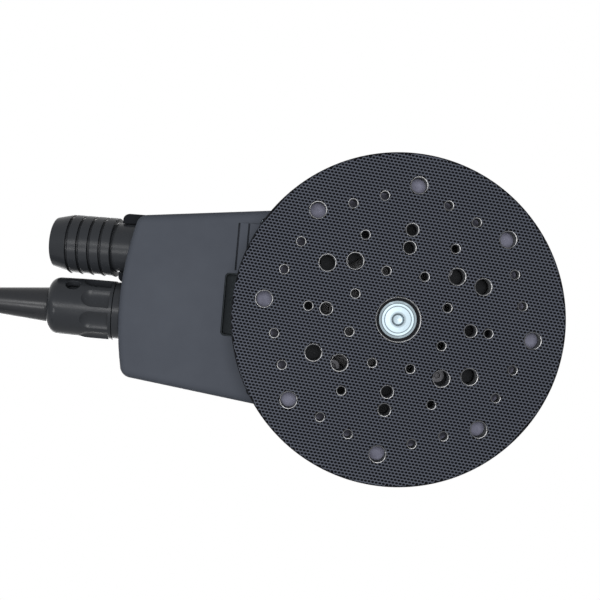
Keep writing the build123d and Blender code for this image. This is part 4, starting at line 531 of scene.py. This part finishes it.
ground_shape = merged_copy("hook_face")
lower_verts = [vert for vert in ground_shape.verts if vert.co.z < LOWER_FACE]
bmesh.ops.translate(ground_shape, verts=lower_verts, vec=(0, 0, PIT_DEPTH))
bmesh.ops.scale(ground_shape, verts=ground_shape.verts, vec=(GROUND_SHRINK, GROUND_SHRINK, 1.0))
ground = add_piece("hook_ground", ground_shape, "pad")
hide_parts("hook_face")

# %% The foam body with a soft rim
FOAM_LEVELS = [2.2, 3.6, 5.2, 6.8, 8.4, 9.8, 10.8]
FOAM_BOTTOM, FOAM_TOP = 1.4 * MM, 11.4 * MM
RIM_BULGE = 0.9 * MM
RIM_ZONE = 3.5 * MM
ON_PLANE = 1e-7

foam_shape = merged_copy("pad_foam")
for level in FOAM_LEVELS:
    cut_at = (0, 0, level * MM)
    everything = whole(foam_shape)
    bmesh.ops.bisect_plane(foam_shape, geom=everything, dist=ON_PLANE, plane_co=cut_at, plane_no=UP)
for vert in foam_shape.verts:
    reach = vert.co.xy.length
    if reach > PAD_RADIUS - RIM_ZONE:
        height = (vert.co.z - FOAM_BOTTOM) / (FOAM_TOP - FOAM_BOTTOM)
        vert.co.xy *= (reach + RIM_BULGE * math.sin(math.pi * height)) / reach
foam = add_piece("pad_cushion", foam_shape, "pad")
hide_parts("pad_foam")

# %% [markdown]
# ## Small things on the housing
# The wrench pocket gets a dark lining, painted shade, so that it looks like a dark slot. A box without
# its lower face, with rounded upright edges and a wall thickness, is all that it takes. The lever gets
# low ribs for the fingers, and the keys get plain raised marks: a minus, a plus and a bar. They are
# small bevelled blocks laid on the solids that they belong to, so they move with them.

# %% A dark lining of painted shade in the wrench pocket
POCKET_MIDDLE = Vector((-72.7, 0.0, 32.2)) * MM
POCKET_SIZE = Vector((13.1, 28.9, 7.3)) * MM
POCKET_CORNER = 1.9 * MM
LINING_WALL = 0.4 * MM
MOUTH_LEVEL = -3 * MM
LEAST_RISE = 1 * MM

shade_lining_shape = bmesh.new()
bmesh.ops.create_cube(shade_lining_shape, size=1.0)
bmesh.ops.scale(shade_lining_shape, verts=shade_lining_shape.verts, vec=POCKET_SIZE)
upright = []
for edge in shade_lining_shape.edges:
    start, end = edge.verts
    if abs(start.co.z - end.co.z) > LEAST_RISE:
        upright.append(edge)
round_off(shade_lining_shape, upright, POCKET_CORNER, segments=5)
mouth = [face for face in shade_lining_shape.faces if face.calc_center_median().z < MOUTH_LEVEL]
bmesh.ops.delete(shade_lining_shape, geom=mouth, context="FACES_ONLY")
bmesh.ops.solidify(shade_lining_shape, geom=shade_lining_shape.faces[:], thickness=LINING_WALL)
bmesh.ops.translate(shade_lining_shape, verts=shade_lining_shape.verts, vec=POCKET_MIDDLE)
shade_lining = add_piece("pocket_shade_lining", shade_lining_shape, "housing")

# %% Ribs on the lever
LEVER_SLOPE = math.radians(7.0)
LEVER_CORNER = Vector((-127.5, 0.0, 70.0)) * MM
RIB_SIZE = Vector((1.5, 15.0, 0.9)) * MM
RIB_COUNT = 7
RIB_FIRST, RIB_PITCH, RIB_LIFT = 27.0, 4.2, 4.1
BLOCK_ROUND = 0.3


def add_block(shape, size, place):
    """A bevelled block of a size, put where a matrix says."""
    block = bmesh.ops.create_cube(shape, size=1.0)["verts"]
    bmesh.ops.scale(shape, verts=block, vec=size)
    block_edges = list({edge for vert in block for edge in vert.link_edges})
    made = round_off(shape, block_edges, BLOCK_ROUND * min(size), segments=2)
    corners = list({vert for face in made["faces"] for vert in face.verts})
    bmesh.ops.transform(shape, matrix=place, verts=corners)


lever_frame = Matrix.Translation(LEVER_CORNER) @ Matrix.Rotation(-LEVER_SLOPE, 4, "Y")
rib_shape = bmesh.new()
for number in range(RIB_COUNT):
    along_lever = Vector((RIB_FIRST + RIB_PITCH * number, 0.0, RIB_LIFT)) * MM
    add_block(rib_shape, RIB_SIZE, lever_frame @ Matrix.Translation(along_lever))
ribs = add_piece("lever_ribs", rib_shape, "lever")

# %% Marks on the keys
KEY_OUT = Vector((-0.1212, 0.9871, 0.1045)).normalized()
KEY_ALONG = Vector((-0.9925, -0.1219, 0.0)).normalized()
KEY_FACE = 0.05 * MM
MARK_HEIGHT = 0.5
LEVEL_BAR, UPRIGHT_BAR = (2.6, 0.7), (0.7, 2.6)
KEY_MARKS = {
    "power_button": ("power_key", [UPRIGHT_BAR]),
    "speed_down_button": ("speed_down_key", [LEVEL_BAR]),
    "speed_up_button": ("speed_up_key", [LEVEL_BAR, UPRIGHT_BAR]),
}

key_frame = Matrix((KEY_ALONG, KEY_OUT.cross(KEY_ALONG), KEY_OUT)).transposed().to_4x4()
for button, (body, bars) in KEY_MARKS.items():
    points = [vert.co for vert in nodes[button].data.vertices]
    reach = max(point.dot(KEY_OUT) for point in points)
    face_points = [point for point in points if point.dot(KEY_OUT) > reach - KEY_FACE]
    key_frame.translation = sum(face_points, Vector()) / len(face_points)
    mark_shape = bmesh.new()
    for width, height in bars:
        add_block(mark_shape, Vector((width, height, MARK_HEIGHT)) * MM, key_frame)
    mark = add_piece(button + "_mark", mark_shape, body)

# %% [markdown]
# ## Shared effects for the finishes
# Moulded plastic, rubber and metal share three effects: the fine grain left by the mould, the marks
# of handling, and edges that are rounded and slightly polished, with painted shade that darkens
# crevices.
# Each is built once as a node group that only puts out values and normals, and every finish sets
# its own strength. The patterns read Object coordinates, which are metres here.


# %% The grain of a mould
def new_group(name, entries, results):
    """An empty shader group with named float inputs, and outputs given as name and socket type."""
    group = bpy.data.node_groups.new(name, "ShaderNodeTree")
    for title, value in entries:
        entry = group.interface.new_socket(title, in_out="INPUT", socket_type="NodeSocketFloat")
        entry.default_value = value
    for title, kind in results:
        group.interface.new_socket(title, in_out="OUTPUT", socket_type=kind)
    return group, group.nodes.new("NodeGroupInput"), group.nodes.new("NodeGroupOutput")


PIT_SHARE = 0.5

grain, grain_in, grain_out = new_group(
    "mould_grain",
    [("Scale", 900.0), ("Cloud", 14.0)],
    [("Height", "NodeSocketFloat"), ("Tone", "NodeSocketFloat")],
)
grain_place = add_node(grain, "ShaderNodeTexCoord")
spark = add_node(grain, "ShaderNodeTexNoise", detail=3.0, roughness=0.65)
pits = add_node(grain, "ShaderNodeTexVoronoi", feature="SMOOTH_F1")
cloud = add_node(grain, "ShaderNodeTexNoise", detail=4.0, roughness=0.6)
grain_sum = add_node(grain, "ShaderNodeMath", operation="MULTIPLY_ADD")
grain_sum.inputs[1].default_value = PIT_SHARE
for texture in (spark, pits, cloud):
    grain.links.new(grain_place.outputs["Object"], texture.inputs["Vector"])
for texture in (spark, pits):
    grain.links.new(grain_in.outputs["Scale"], texture.inputs["Scale"])
grain.links.new(grain_in.outputs["Cloud"], cloud.inputs["Scale"])
grain.links.new(pits.outputs["Distance"], grain_sum.inputs[0])
grain.links.new(spark.outputs["Fac"], grain_sum.inputs[2])
grain.links.new(grain_sum.outputs[0], grain_out.inputs["Height"])
grain.links.new(cloud.outputs["Fac"], grain_out.inputs["Tone"])
print("effect:", grain.name)

# %% The marks of handling
SCRATCH_TURN = (0.4, 0.3, 0.5)
SCRATCH_SCALE = (40.0, 900.0, 900.0)

marks, marks_in, marks_out = new_group(
    "handling_marks", [("Scale", 30.0)], [("Smudge", "NodeSocketFloat"), ("Scratch", "NodeSocketFloat")]
)
marks_place = add_node(marks, "ShaderNodeTexCoord")
smear = add_node(marks, "ShaderNodeTexNoise", detail=6.0, roughness=0.7, distortion=0.8)
smear_range = add_node(marks, "ShaderNodeMapRange", from_min=0.45, from_max=0.75)
stretch = add_node(marks, "ShaderNodeMapping")
stretch.inputs["Rotation"].default_value = SCRATCH_TURN
stretch.inputs["Scale"].default_value = SCRATCH_SCALE
hairline = add_node(marks, "ShaderNodeTexNoise", scale=1.0, detail=1.0)
hairline_range = add_node(marks, "ShaderNodeMapRange", from_min=0.70, from_max=0.78)
marks.links.new(marks_place.outputs["Object"], smear.inputs["Vector"])
marks.links.new(marks_in.outputs["Scale"], smear.inputs["Scale"])
marks.links.new(smear.outputs["Fac"], smear_range.inputs["Value"])
marks.links.new(smear_range.outputs[0], marks_out.inputs["Smudge"])
marks.links.new(marks_place.outputs["Object"], stretch.inputs["Vector"])
marks.links.new(stretch.outputs[0], hairline.inputs["Vector"])
marks.links.new(hairline.outputs["Fac"], hairline_range.inputs["Value"])
marks.links.new(hairline_range.outputs[0], marks_out.inputs["Scratch"])
print("effect:", marks.name)

# %% Rounded and polished edges, and painted shade in crevices
edges, edges_in, edges_out = new_group(
    "rounded_edges_and_crevice_shade",
    [("Radius", 0.0004)],
    [("Normal", "NodeSocketVector"), ("Wear", "NodeSocketFloat"), ("Open", "NodeSocketFloat")],
)
rounding = add_node(edges, "ShaderNodeBevel", samples=6)
flat_side = add_node(edges, "ShaderNodeNewGeometry")
turned_away = add_node(edges, "ShaderNodeVectorMath", operation="DOT_PRODUCT")
wear_range = add_node(edges, "ShaderNodeMapRange", from_min=0.985, from_max=0.80)
crevice = add_node(edges, "ShaderNodeAmbientOcclusion", samples=6, distance=0.002)
open_range = add_node(edges, "ShaderNodeMapRange", from_min=0.35, from_max=0.85)
edges.links.new(edges_in.outputs["Radius"], rounding.inputs["Radius"])
edges.links.new(rounding.outputs[0], turned_away.inputs[0])
edges.links.new(flat_side.outputs["Normal"], turned_away.inputs[1])
edges.links.new(turned_away.outputs["Value"], wear_range.inputs["Value"])
edges.links.new(rounding.outputs[0], edges_out.inputs["Normal"])
edges.links.new(wear_range.outputs[0], edges_out.inputs["Wear"])
edges.links.new(crevice.outputs["AO"], open_range.inputs["Value"])
edges.links.new(open_range.outputs[0], edges_out.inputs["Open"])
print("effect:", edges.name)

# %% [markdown]
# ## Finishes
# One recipe makes every finish: two close tones clouded together, a paler tint on polished edges,
# painted shade that darkens crevices, roughness that drops where hands have been, and the mould's
# grain as a bump. Metals use it too, most of them with sharper edges. A second recipe lays grey tones
# over a finish along the machine's axes, for the parting line between the housings, painted shade on
# the plate behind the dust holes, and the turned stud. Each finish goes to its pieces by name.

# %% Helpers for the recipes
# A Mix node has sockets for numbers, vectors and colours side by side; these mix two colours.
MIX_SHARE, MIX_FIRST, MIX_SECOND, MIX_COLOUR = 0, 6, 7, 2


def place_group(tree, group, **values):
    """A group placed in a material, with its own values."""
    node = tree.nodes.new("ShaderNodeGroup")
    node.node_tree = group
    for name, value in values.items():
        node.inputs[name].default_value = value
    return node


def mix_colours(tree, share, first, second, blend="MIX"):
    """Two colours mixed by a share; each of the three may be a socket or a value."""
    mix = add_node(tree, "ShaderNodeMix", data_type="RGBA", blend_type=blend)
    for place, value in ((MIX_SHARE, share), (MIX_FIRST, first), (MIX_SECOND, second)):
        if isinstance(value, bpy.types.NodeSocket):
            tree.links.new(value, mix.inputs[place])
        else:
            mix.inputs[place].default_value = value
    return mix.outputs[MIX_COLOUR]


def paint(material, names):
    """Puts a finish on solids of the machine, or on pieces made here."""
    for name in names:
        solid = nodes[name] if name in nodes else bpy.data.objects[name]
        if not solid.material_slots:
            solid.data.materials.append(material)
        for place in solid.material_slots:
            place.link = "OBJECT"
            place.material = material


# %% The recipe for a finish
POLISH_GAIN, POLISH_LIFT = 1.9, 0.01
SMUDGE_DULLER, SMUDGE_SMOOTHER = 0.05, 0.09
SCRATCH_CHANGE = -0.12
BUMP_STRENGTH = 0.6
METAL_SPECULAR = 0.5


def dress(
    name,
    pieces,
    deep,
    pale,
    rough,
    grain_scale=900.0,
    grain_depth=0.00003,
    polish=0.35,
    metal=0.0,
    round_edge=0.0004,
    gloss=0.06,
    cloud=14.0,
    crevice_shade=0.6,
):
    """A moulded or cast finish from two close tones, painted on its pieces.

    Polish is the share of the paler tint on edges, and crevice_shade is how far painted shade darkens
    crevices.
    """
    material = bpy.data.materials.new(name)
    material.use_nodes = True
    tree = material.node_tree
    shader = tree.nodes["Principled BSDF"]
    shader.inputs["Metallic"].default_value = metal
    shader.inputs["Specular IOR Level"].default_value = METAL_SPECULAR if metal else gloss
    grained = place_group(tree, grain, Scale=grain_scale, Cloud=cloud)
    handled = place_group(tree, marks)
    edged = place_group(tree, edges, Radius=round_edge)

    polish_share = add_node(tree, "ShaderNodeMath", operation="MULTIPLY")
    polish_share.inputs[1].default_value = polish
    tree.links.new(edged.outputs["Wear"], polish_share.inputs[0])
    body = mix_colours(tree, grained.outputs["Tone"], (*deep, 1), (*pale, 1))
    worn = tuple(min(1.0, POLISH_GAIN * tone + POLISH_LIFT) for tone in pale)
    tinted = mix_colours(tree, polish_share.outputs[0], body, (*worn, 1))
    # Painted shade: ambient occlusion darkens the colour in crevices.
    lit_share = add_node(tree, "ShaderNodeMapRange", to_min=1.0 - crevice_shade, to_max=1.0)
    tree.links.new(edged.outputs["Open"], lit_share.inputs["Value"])
    shaded = mix_colours(tree, 1.0, tinted, lit_share.outputs[0], blend="MULTIPLY")
    tree.links.new(shaded, shader.inputs["Base Color"])

    sheen = add_node(
        tree, "ShaderNodeMapRange", to_min=rough + SMUDGE_DULLER, to_max=rough - SMUDGE_SMOOTHER
    )
    tree.links.new(handled.outputs["Smudge"], sheen.inputs["Value"])
    scratched = add_node(tree, "ShaderNodeMath", operation="MULTIPLY_ADD", use_clamp=True)
    scratched.inputs[1].default_value = SCRATCH_CHANGE
    tree.links.new(handled.outputs["Scratch"], scratched.inputs[0])
    tree.links.new(sheen.outputs[0], scratched.inputs[2])
    tree.links.new(scratched.outputs[0], shader.inputs["Roughness"])

    bump = add_node(tree, "ShaderNodeBump", strength=BUMP_STRENGTH, distance=grain_depth)
    tree.links.new(grained.outputs["Height"], bump.inputs["Height"])
    tree.links.new(edged.outputs["Normal"], bump.inputs["Normal"])
    tree.links.new(bump.outputs[0], shader.inputs["Normal"])
    paint(material, pieces)
    print(name, "on", ", ".join(pieces))
    return material


# %% The recipe for tones along the machine's axes
MM_PER_METRE = 1000.0
ALONG_X, ALONG_Z, FROM_PAD_AXIS = (1.0, 0.0, 0.0), (0.0, 0.0, 1.0), (1.0, 1.0, 0.0)
RING_DARK, RING_LIGHT = 0.8, 1.1
# A wave texture has this many radians of its wave for one metre at a scale of one.
WAVE_RADIANS = 20


def tone_by_reach(material, stops, axes=FROM_PAD_AXIS, rings=0.0):
    """Multiplies a finish by grey tones, given as a reach along the axes in millimetres and a tone.

    With a pitch for rings, the finish also gets turning marks round the Z axis.
    """
    tree = material.node_tree
    shader = tree.nodes["Principled BSDF"]
    before = shader.inputs["Base Color"].links[0].from_socket
    furthest = stops[-1][0]
    place = add_node(tree, "ShaderNodeTexCoord")
    level = add_node(tree, "ShaderNodeVectorMath", operation="MULTIPLY")
    level.inputs[1].default_value = Vector(axes) * MM_PER_METRE
    distance = add_node(tree, "ShaderNodeVectorMath", operation="LENGTH")
    share = add_node(tree, "ShaderNodeMapRange", from_max=furthest)
    ramp = add_node(tree, "ShaderNodeValToRGB")
    tree.links.new(place.outputs["Object"], level.inputs[0])
    tree.links.new(level.outputs[0], distance.inputs[0])
    tree.links.new(distance.outputs["Value"], share.inputs["Value"])
    tree.links.new(share.outputs[0], ramp.inputs["Fac"])
    while len(ramp.color_ramp.elements) < len(stops):
        ramp.color_ramp.elements.new(0.5)
    for element, (reach, tone) in zip(ramp.color_ramp.elements, stops):
        element.position = reach / furthest
        element.color = (tone, tone, tone, 1)
    result = mix_colours(tree, 1.0, before, ramp.outputs["Color"], blend="MULTIPLY")
    if rings:
        wave = add_node(tree, "ShaderNodeTexWave", wave_type="RINGS", rings_direction="Z")
        wave.inputs["Scale"].default_value = math.tau / (WAVE_RADIANS * rings)
        dim = add_node(tree, "ShaderNodeMapRange", to_min=RING_DARK, to_max=RING_LIGHT)
        tree.links.new(place.outputs["Object"], wave.inputs["Vector"])
        tree.links.new(wave.outputs["Fac"], dim.inputs["Value"])
        result = mix_colours(tree, 1.0, result, dim.outputs[0], blend="MULTIPLY")
    tree.links.new(result, shader.inputs["Base Color"])


# %% The two housings
HOUSING = dict(
    deep=(0.048, 0.053, 0.065),
    pale=(0.075, 0.083, 0.100),
    rough=0.52,
    gloss=0.02,
    cloud=26.0,
)
PARTING_LINE = [(0.0, 1.0), (47.7, 1.0), (47.85, 0.3), (48.15, 0.3), (48.3, 1.0), (100.0, 1.0)]
REAR_CAP = [(0.0, 1.0), (121.3, 1.0), (121.7, 0.4), (160.0, 0.4)]

tray_finish = dress("housing_plastic", ["lower_housing"], **HOUSING)
tone_by_reach(tray_finish, PARTING_LINE, axes=ALONG_Z)
shell_finish = dress("shell_plastic", ["upper_housing"], **HOUSING)
tone_by_reach(shell_finish, PARTING_LINE, axes=ALONG_Z)
tone_by_reach(shell_finish, REAR_CAP, axes=ALONG_X)

# %% The other plastics
# Painted shade on the backing plate: it is darker inside 50 mm, in a band from 52 to 56 mm and on its
# faces above 12 mm, where the dust holes and the hub lie in shade.
PLATE_SHADE_RINGS = [(0.0, 0.08), (50.0, 0.08), (52.0, 0.3), (56.0, 0.3), (57.0, 1.0), (80.0, 1.0)]
PLATE_SHADE_LEVELS = [(0.0, 1.0), (11.8, 1.0), (12.0, 0.3), (40.0, 0.3)]
SMOOTH_MOULD = dict(grain_scale=1200.0, grain_depth=0.00002, gloss=0.12)

dark_pieces = ["lever", "lever_ribs", "keypad_bezel", "head_cap"]
dark_pieces += [button + "_mark" for button in KEY_MARKS]
dress(
    "dark_plastic",
    dark_pieces,
    deep=(0.036, 0.038, 0.041),
    pale=(0.045, 0.047, 0.051),
    rough=0.42,
    **SMOOTH_MOULD,
)
dress(
    "tube_plastic",
    ["dust_outlet", "lock_sleeve", "inlet_socket", "plug_core"],
    deep=(0.021, 0.023, 0.026),
    pale=(0.027, 0.029, 0.033),
    rough=0.25,
    **SMOOTH_MOULD,
)
dress(
    "shroud_plastic",
    ["shroud", "dust_duct", "cooling_fan", "lever_switch"],
    deep=(0.030, 0.032, 0.035),
    pale=(0.040, 0.042, 0.046),
    rough=0.55,
)
plate_finish = dress(
    "backing_plate",
    ["pad_plate"],
    deep=(0.10, 0.10, 0.135),
    pale=(0.32, 0.325, 0.42),
    rough=0.5,
    grain_scale=700.0,
    cloud=220.0,
)
tone_by_reach(plate_finish, PLATE_SHADE_RINGS)
tone_by_reach(plate_finish, PLATE_SHADE_LEVELS, axes=ALONG_Z)
dress(
    "key_plastic",
    list(KEY_MARKS),
    deep=(0.28, 0.29, 0.31),
    pale=(0.33, 0.34, 0.36),
    rough=0.45,
    grain_scale=1500.0,
    grain_depth=0.00001,
)
dress(
    "circuit_board",
    ["keypad_board", "controller_board"],
    deep=(0.012, 0.09, 0.035),
    pale=(0.02, 0.13, 0.05),
    rough=0.35,
    grain_scale=400.0,
    grain_depth=0.00002,
)
dress(
    "capacitor_sleeve",
    ["capacitors"],
    deep=(0.03, 0.03, 0.04),
    pale=(0.05, 0.05, 0.06),
    rough=0.3,
    grain_scale=600.0,
    grain_depth=0.00001,
)

# %% Rubbers
dress(
    "grip_rubber",
    ["palm_grip"],
    deep=(0.020, 0.020, 0.022),
    pale=(0.030, 0.030, 0.033),
    rough=0.72,
    grain_scale=420.0,
    grain_depth=0.0003,
    polish=0.15,
)
dress(
    "seal_rubber",
    ["brake_seal", "outlet_seal"],
    deep=(0.015, 0.015, 0.016),
    pale=(0.024, 0.024, 0.025),
    rough=0.65,
    grain_scale=1400.0,
    polish=0.15,
)
# Painted shade: the pocket's lining is dark, where the wrench slot lies in shade.
dress(
    "pocket_shade",
    ["pocket_shade_lining"],
    deep=(0.036, 0.042, 0.046),
    pale=(0.044, 0.050, 0.055),
    rough=0.8,
    grain_scale=1400.0,
    grain_depth=0.00004,
    polish=0.05,
    crevice_shade=0.2,
)
dress(
    "cable_sheath",
    ["mains_lead", "mains_plug"],
    deep=(0.024, 0.025, 0.027),
    pale=(0.033, 0.034, 0.036),
    rough=0.40,
    grain_scale=1300.0,
    grain_depth=0.00002,
    polish=0.15,
)
dress(
    "boot_rubber",
    ["cable_boot"],
    deep=(0.015, 0.016, 0.018),
    pale=(0.020, 0.021, 0.024),
    rough=0.27,
    grain_scale=1300.0,
    grain_depth=0.00001,
    polish=0.1,
    gloss=0.20,
)

# %% Plated, blackened and turned steel
METAL = dict(metal=1.0, polish=0.2, round_edge=0.0003)
PLATED_METAL = dict(grain_scale=500.0, grain_depth=0.00001, **METAL)
SMOOTH_METAL = dict(grain_scale=900.0, grain_depth=0.00001, **METAL)
STUD_TONES = [(0.0, 1.3), (2.3, 1.2), (2.7, 0.6), (3.4, 0.9), (3.8, 1.25)]
STUD_TONES += [(5.6, 1.25), (5.9, 0.55), (6.3, 1.3), (7.0, 1.2), (7.2, 0.55), (8.6, 0.7)]
TURNING_PITCH = 0.5 * MM

dress(
    "zinc_plate",
    ["housing_screws", "lever_pin", "lever_spring", "bearing_circlip"],
    deep=(0.34, 0.43, 0.48),
    pale=(0.48, 0.59, 0.65),
    rough=0.34,
    **PLATED_METAL,
)
dress(
    "blackened_steel",
    ["shroud_screws"],
    deep=(0.05, 0.05, 0.055),
    pale=(0.08, 0.08, 0.085),
    rough=0.45,
    **PLATED_METAL,
)
stud_finish = dress(
    "turned_zinc",
    ["pad_stud"],
    deep=(0.23, 0.28, 0.31),
    pale=(0.29, 0.35, 0.38),
    rough=0.52,
    **PLATED_METAL,
)
tone_by_reach(stud_finish, STUD_TONES, rings=TURNING_PITCH)
steel_pieces = ["main_bearing", "tail_bearing", "spindle_bearing_lower", "spindle_bearing_upper"]
steel_pieces += ["eccentric_shaft", "pad_spindle", "spindle_retainer"]
dress(
    "ground_steel",
    steel_pieces,
    deep=(0.50, 0.50, 0.51),
    pale=(0.58, 0.58, 0.59),
    rough=0.28,
    **SMOOTH_METAL,
)
dress(
    "plated_pins",
    ["mains_pins", "inlet_pins"],
    deep=(0.62, 0.60, 0.52),
    pale=(0.74, 0.72, 0.64),
    rough=0.25,
    **SMOOTH_METAL,
)

# %% Castings, motor sheet and windings
dress(
    "cast_aluminium",
    ["motor_bell", "motor_can", "bearing_bridge", "counterweight", "heat_sink"],
    deep=(0.13, 0.13, 0.135),
    pale=(0.19, 0.19, 0.195),
    rough=0.58,
    grain_scale=600.0,
    grain_depth=0.00006,
    polish=0.3,
    metal=1.0,
    round_edge=0.0005,
)
dress(
    "core_sheet",
    ["stator_core", "rotor_core", "rotor_magnets"],
    deep=(0.20, 0.20, 0.21),
    pale=(0.27, 0.27, 0.28),
    rough=0.4,
    grain_scale=2000.0,
    grain_depth=0.00004,
    **METAL,
)
dress(
    "enamelled_copper",
    ["stator_windings"],
    deep=(0.50, 0.20, 0.08),
    pale=(0.65, 0.30, 0.13),
    rough=0.3,
    grain_scale=1500.0,
    grain_depth=0.00006,
    **METAL,
)

# %% Textile and foam of the pad
FIBRE = dict(grain_scale=2500.0, grain_depth=0.00008)

dress(
    "hook_textile",
    ["hook_web"],
    deep=(0.066, 0.073, 0.092),
    pale=(0.081, 0.088, 0.109),
    rough=0.55,
    polish=0.1,
    crevice_shade=0.0,
    **FIBRE,
)
dress(
    "fused_rim",
    ["hook_rims"],
    deep=(0.020, 0.023, 0.030),
    pale=(0.060, 0.068, 0.085),
    rough=0.16,
    grain_scale=2500.0,
    grain_depth=0.00001,
    polish=0.0,
    gloss=1.0,
    cloud=140.0,
)
dress(
    "cut_edge",
    ["hook_edge"],
    deep=(0.020, 0.021, 0.025),
    pale=(0.035, 0.037, 0.043),
    rough=0.8,
    polish=0.0,
    gloss=0.03,
    **FIBRE,
)
# Painted shade: the woven ground is near-black, so that the pits between the hooks look shaded.
dress(
    "hook_ground",
    ["hook_ground"],
    deep=(0.006, 0.006, 0.008),
    pale=(0.012, 0.012, 0.015),
    rough=0.85,
    polish=0.0,
    **FIBRE,
)
dress(
    "pad_foam",
    ["pad_cushion"],
    deep=(0.09, 0.095, 0.10),
    pale=(0.13, 0.135, 0.14),
    rough=0.85,
    grain_scale=1100.0,
    grain_depth=0.00025,
    polish=0.0,
)

# %% Strap and lens
dress(
    "woven_strap",
    ["coil_strap"],
    deep=(0.03, 0.03, 0.034),
    pale=(0.05, 0.05, 0.055),
    rough=0.8,
    grain_scale=1500.0,
    grain_depth=0.0001,
    polish=0.1,
)
dress(
    "status_lens",
    ["status_lens"],
    deep=(0.25, 0.60, 0.35),
    pale=(0.35, 0.75, 0.45),
    rough=0.25,
    grain_depth=0.00001,
    polish=0.1,
)
bare = []
for name, solid in nodes.items():
    if not any(place.material for place in solid.material_slots):
        bare.append(name)
print("solids without a finish:", bare)
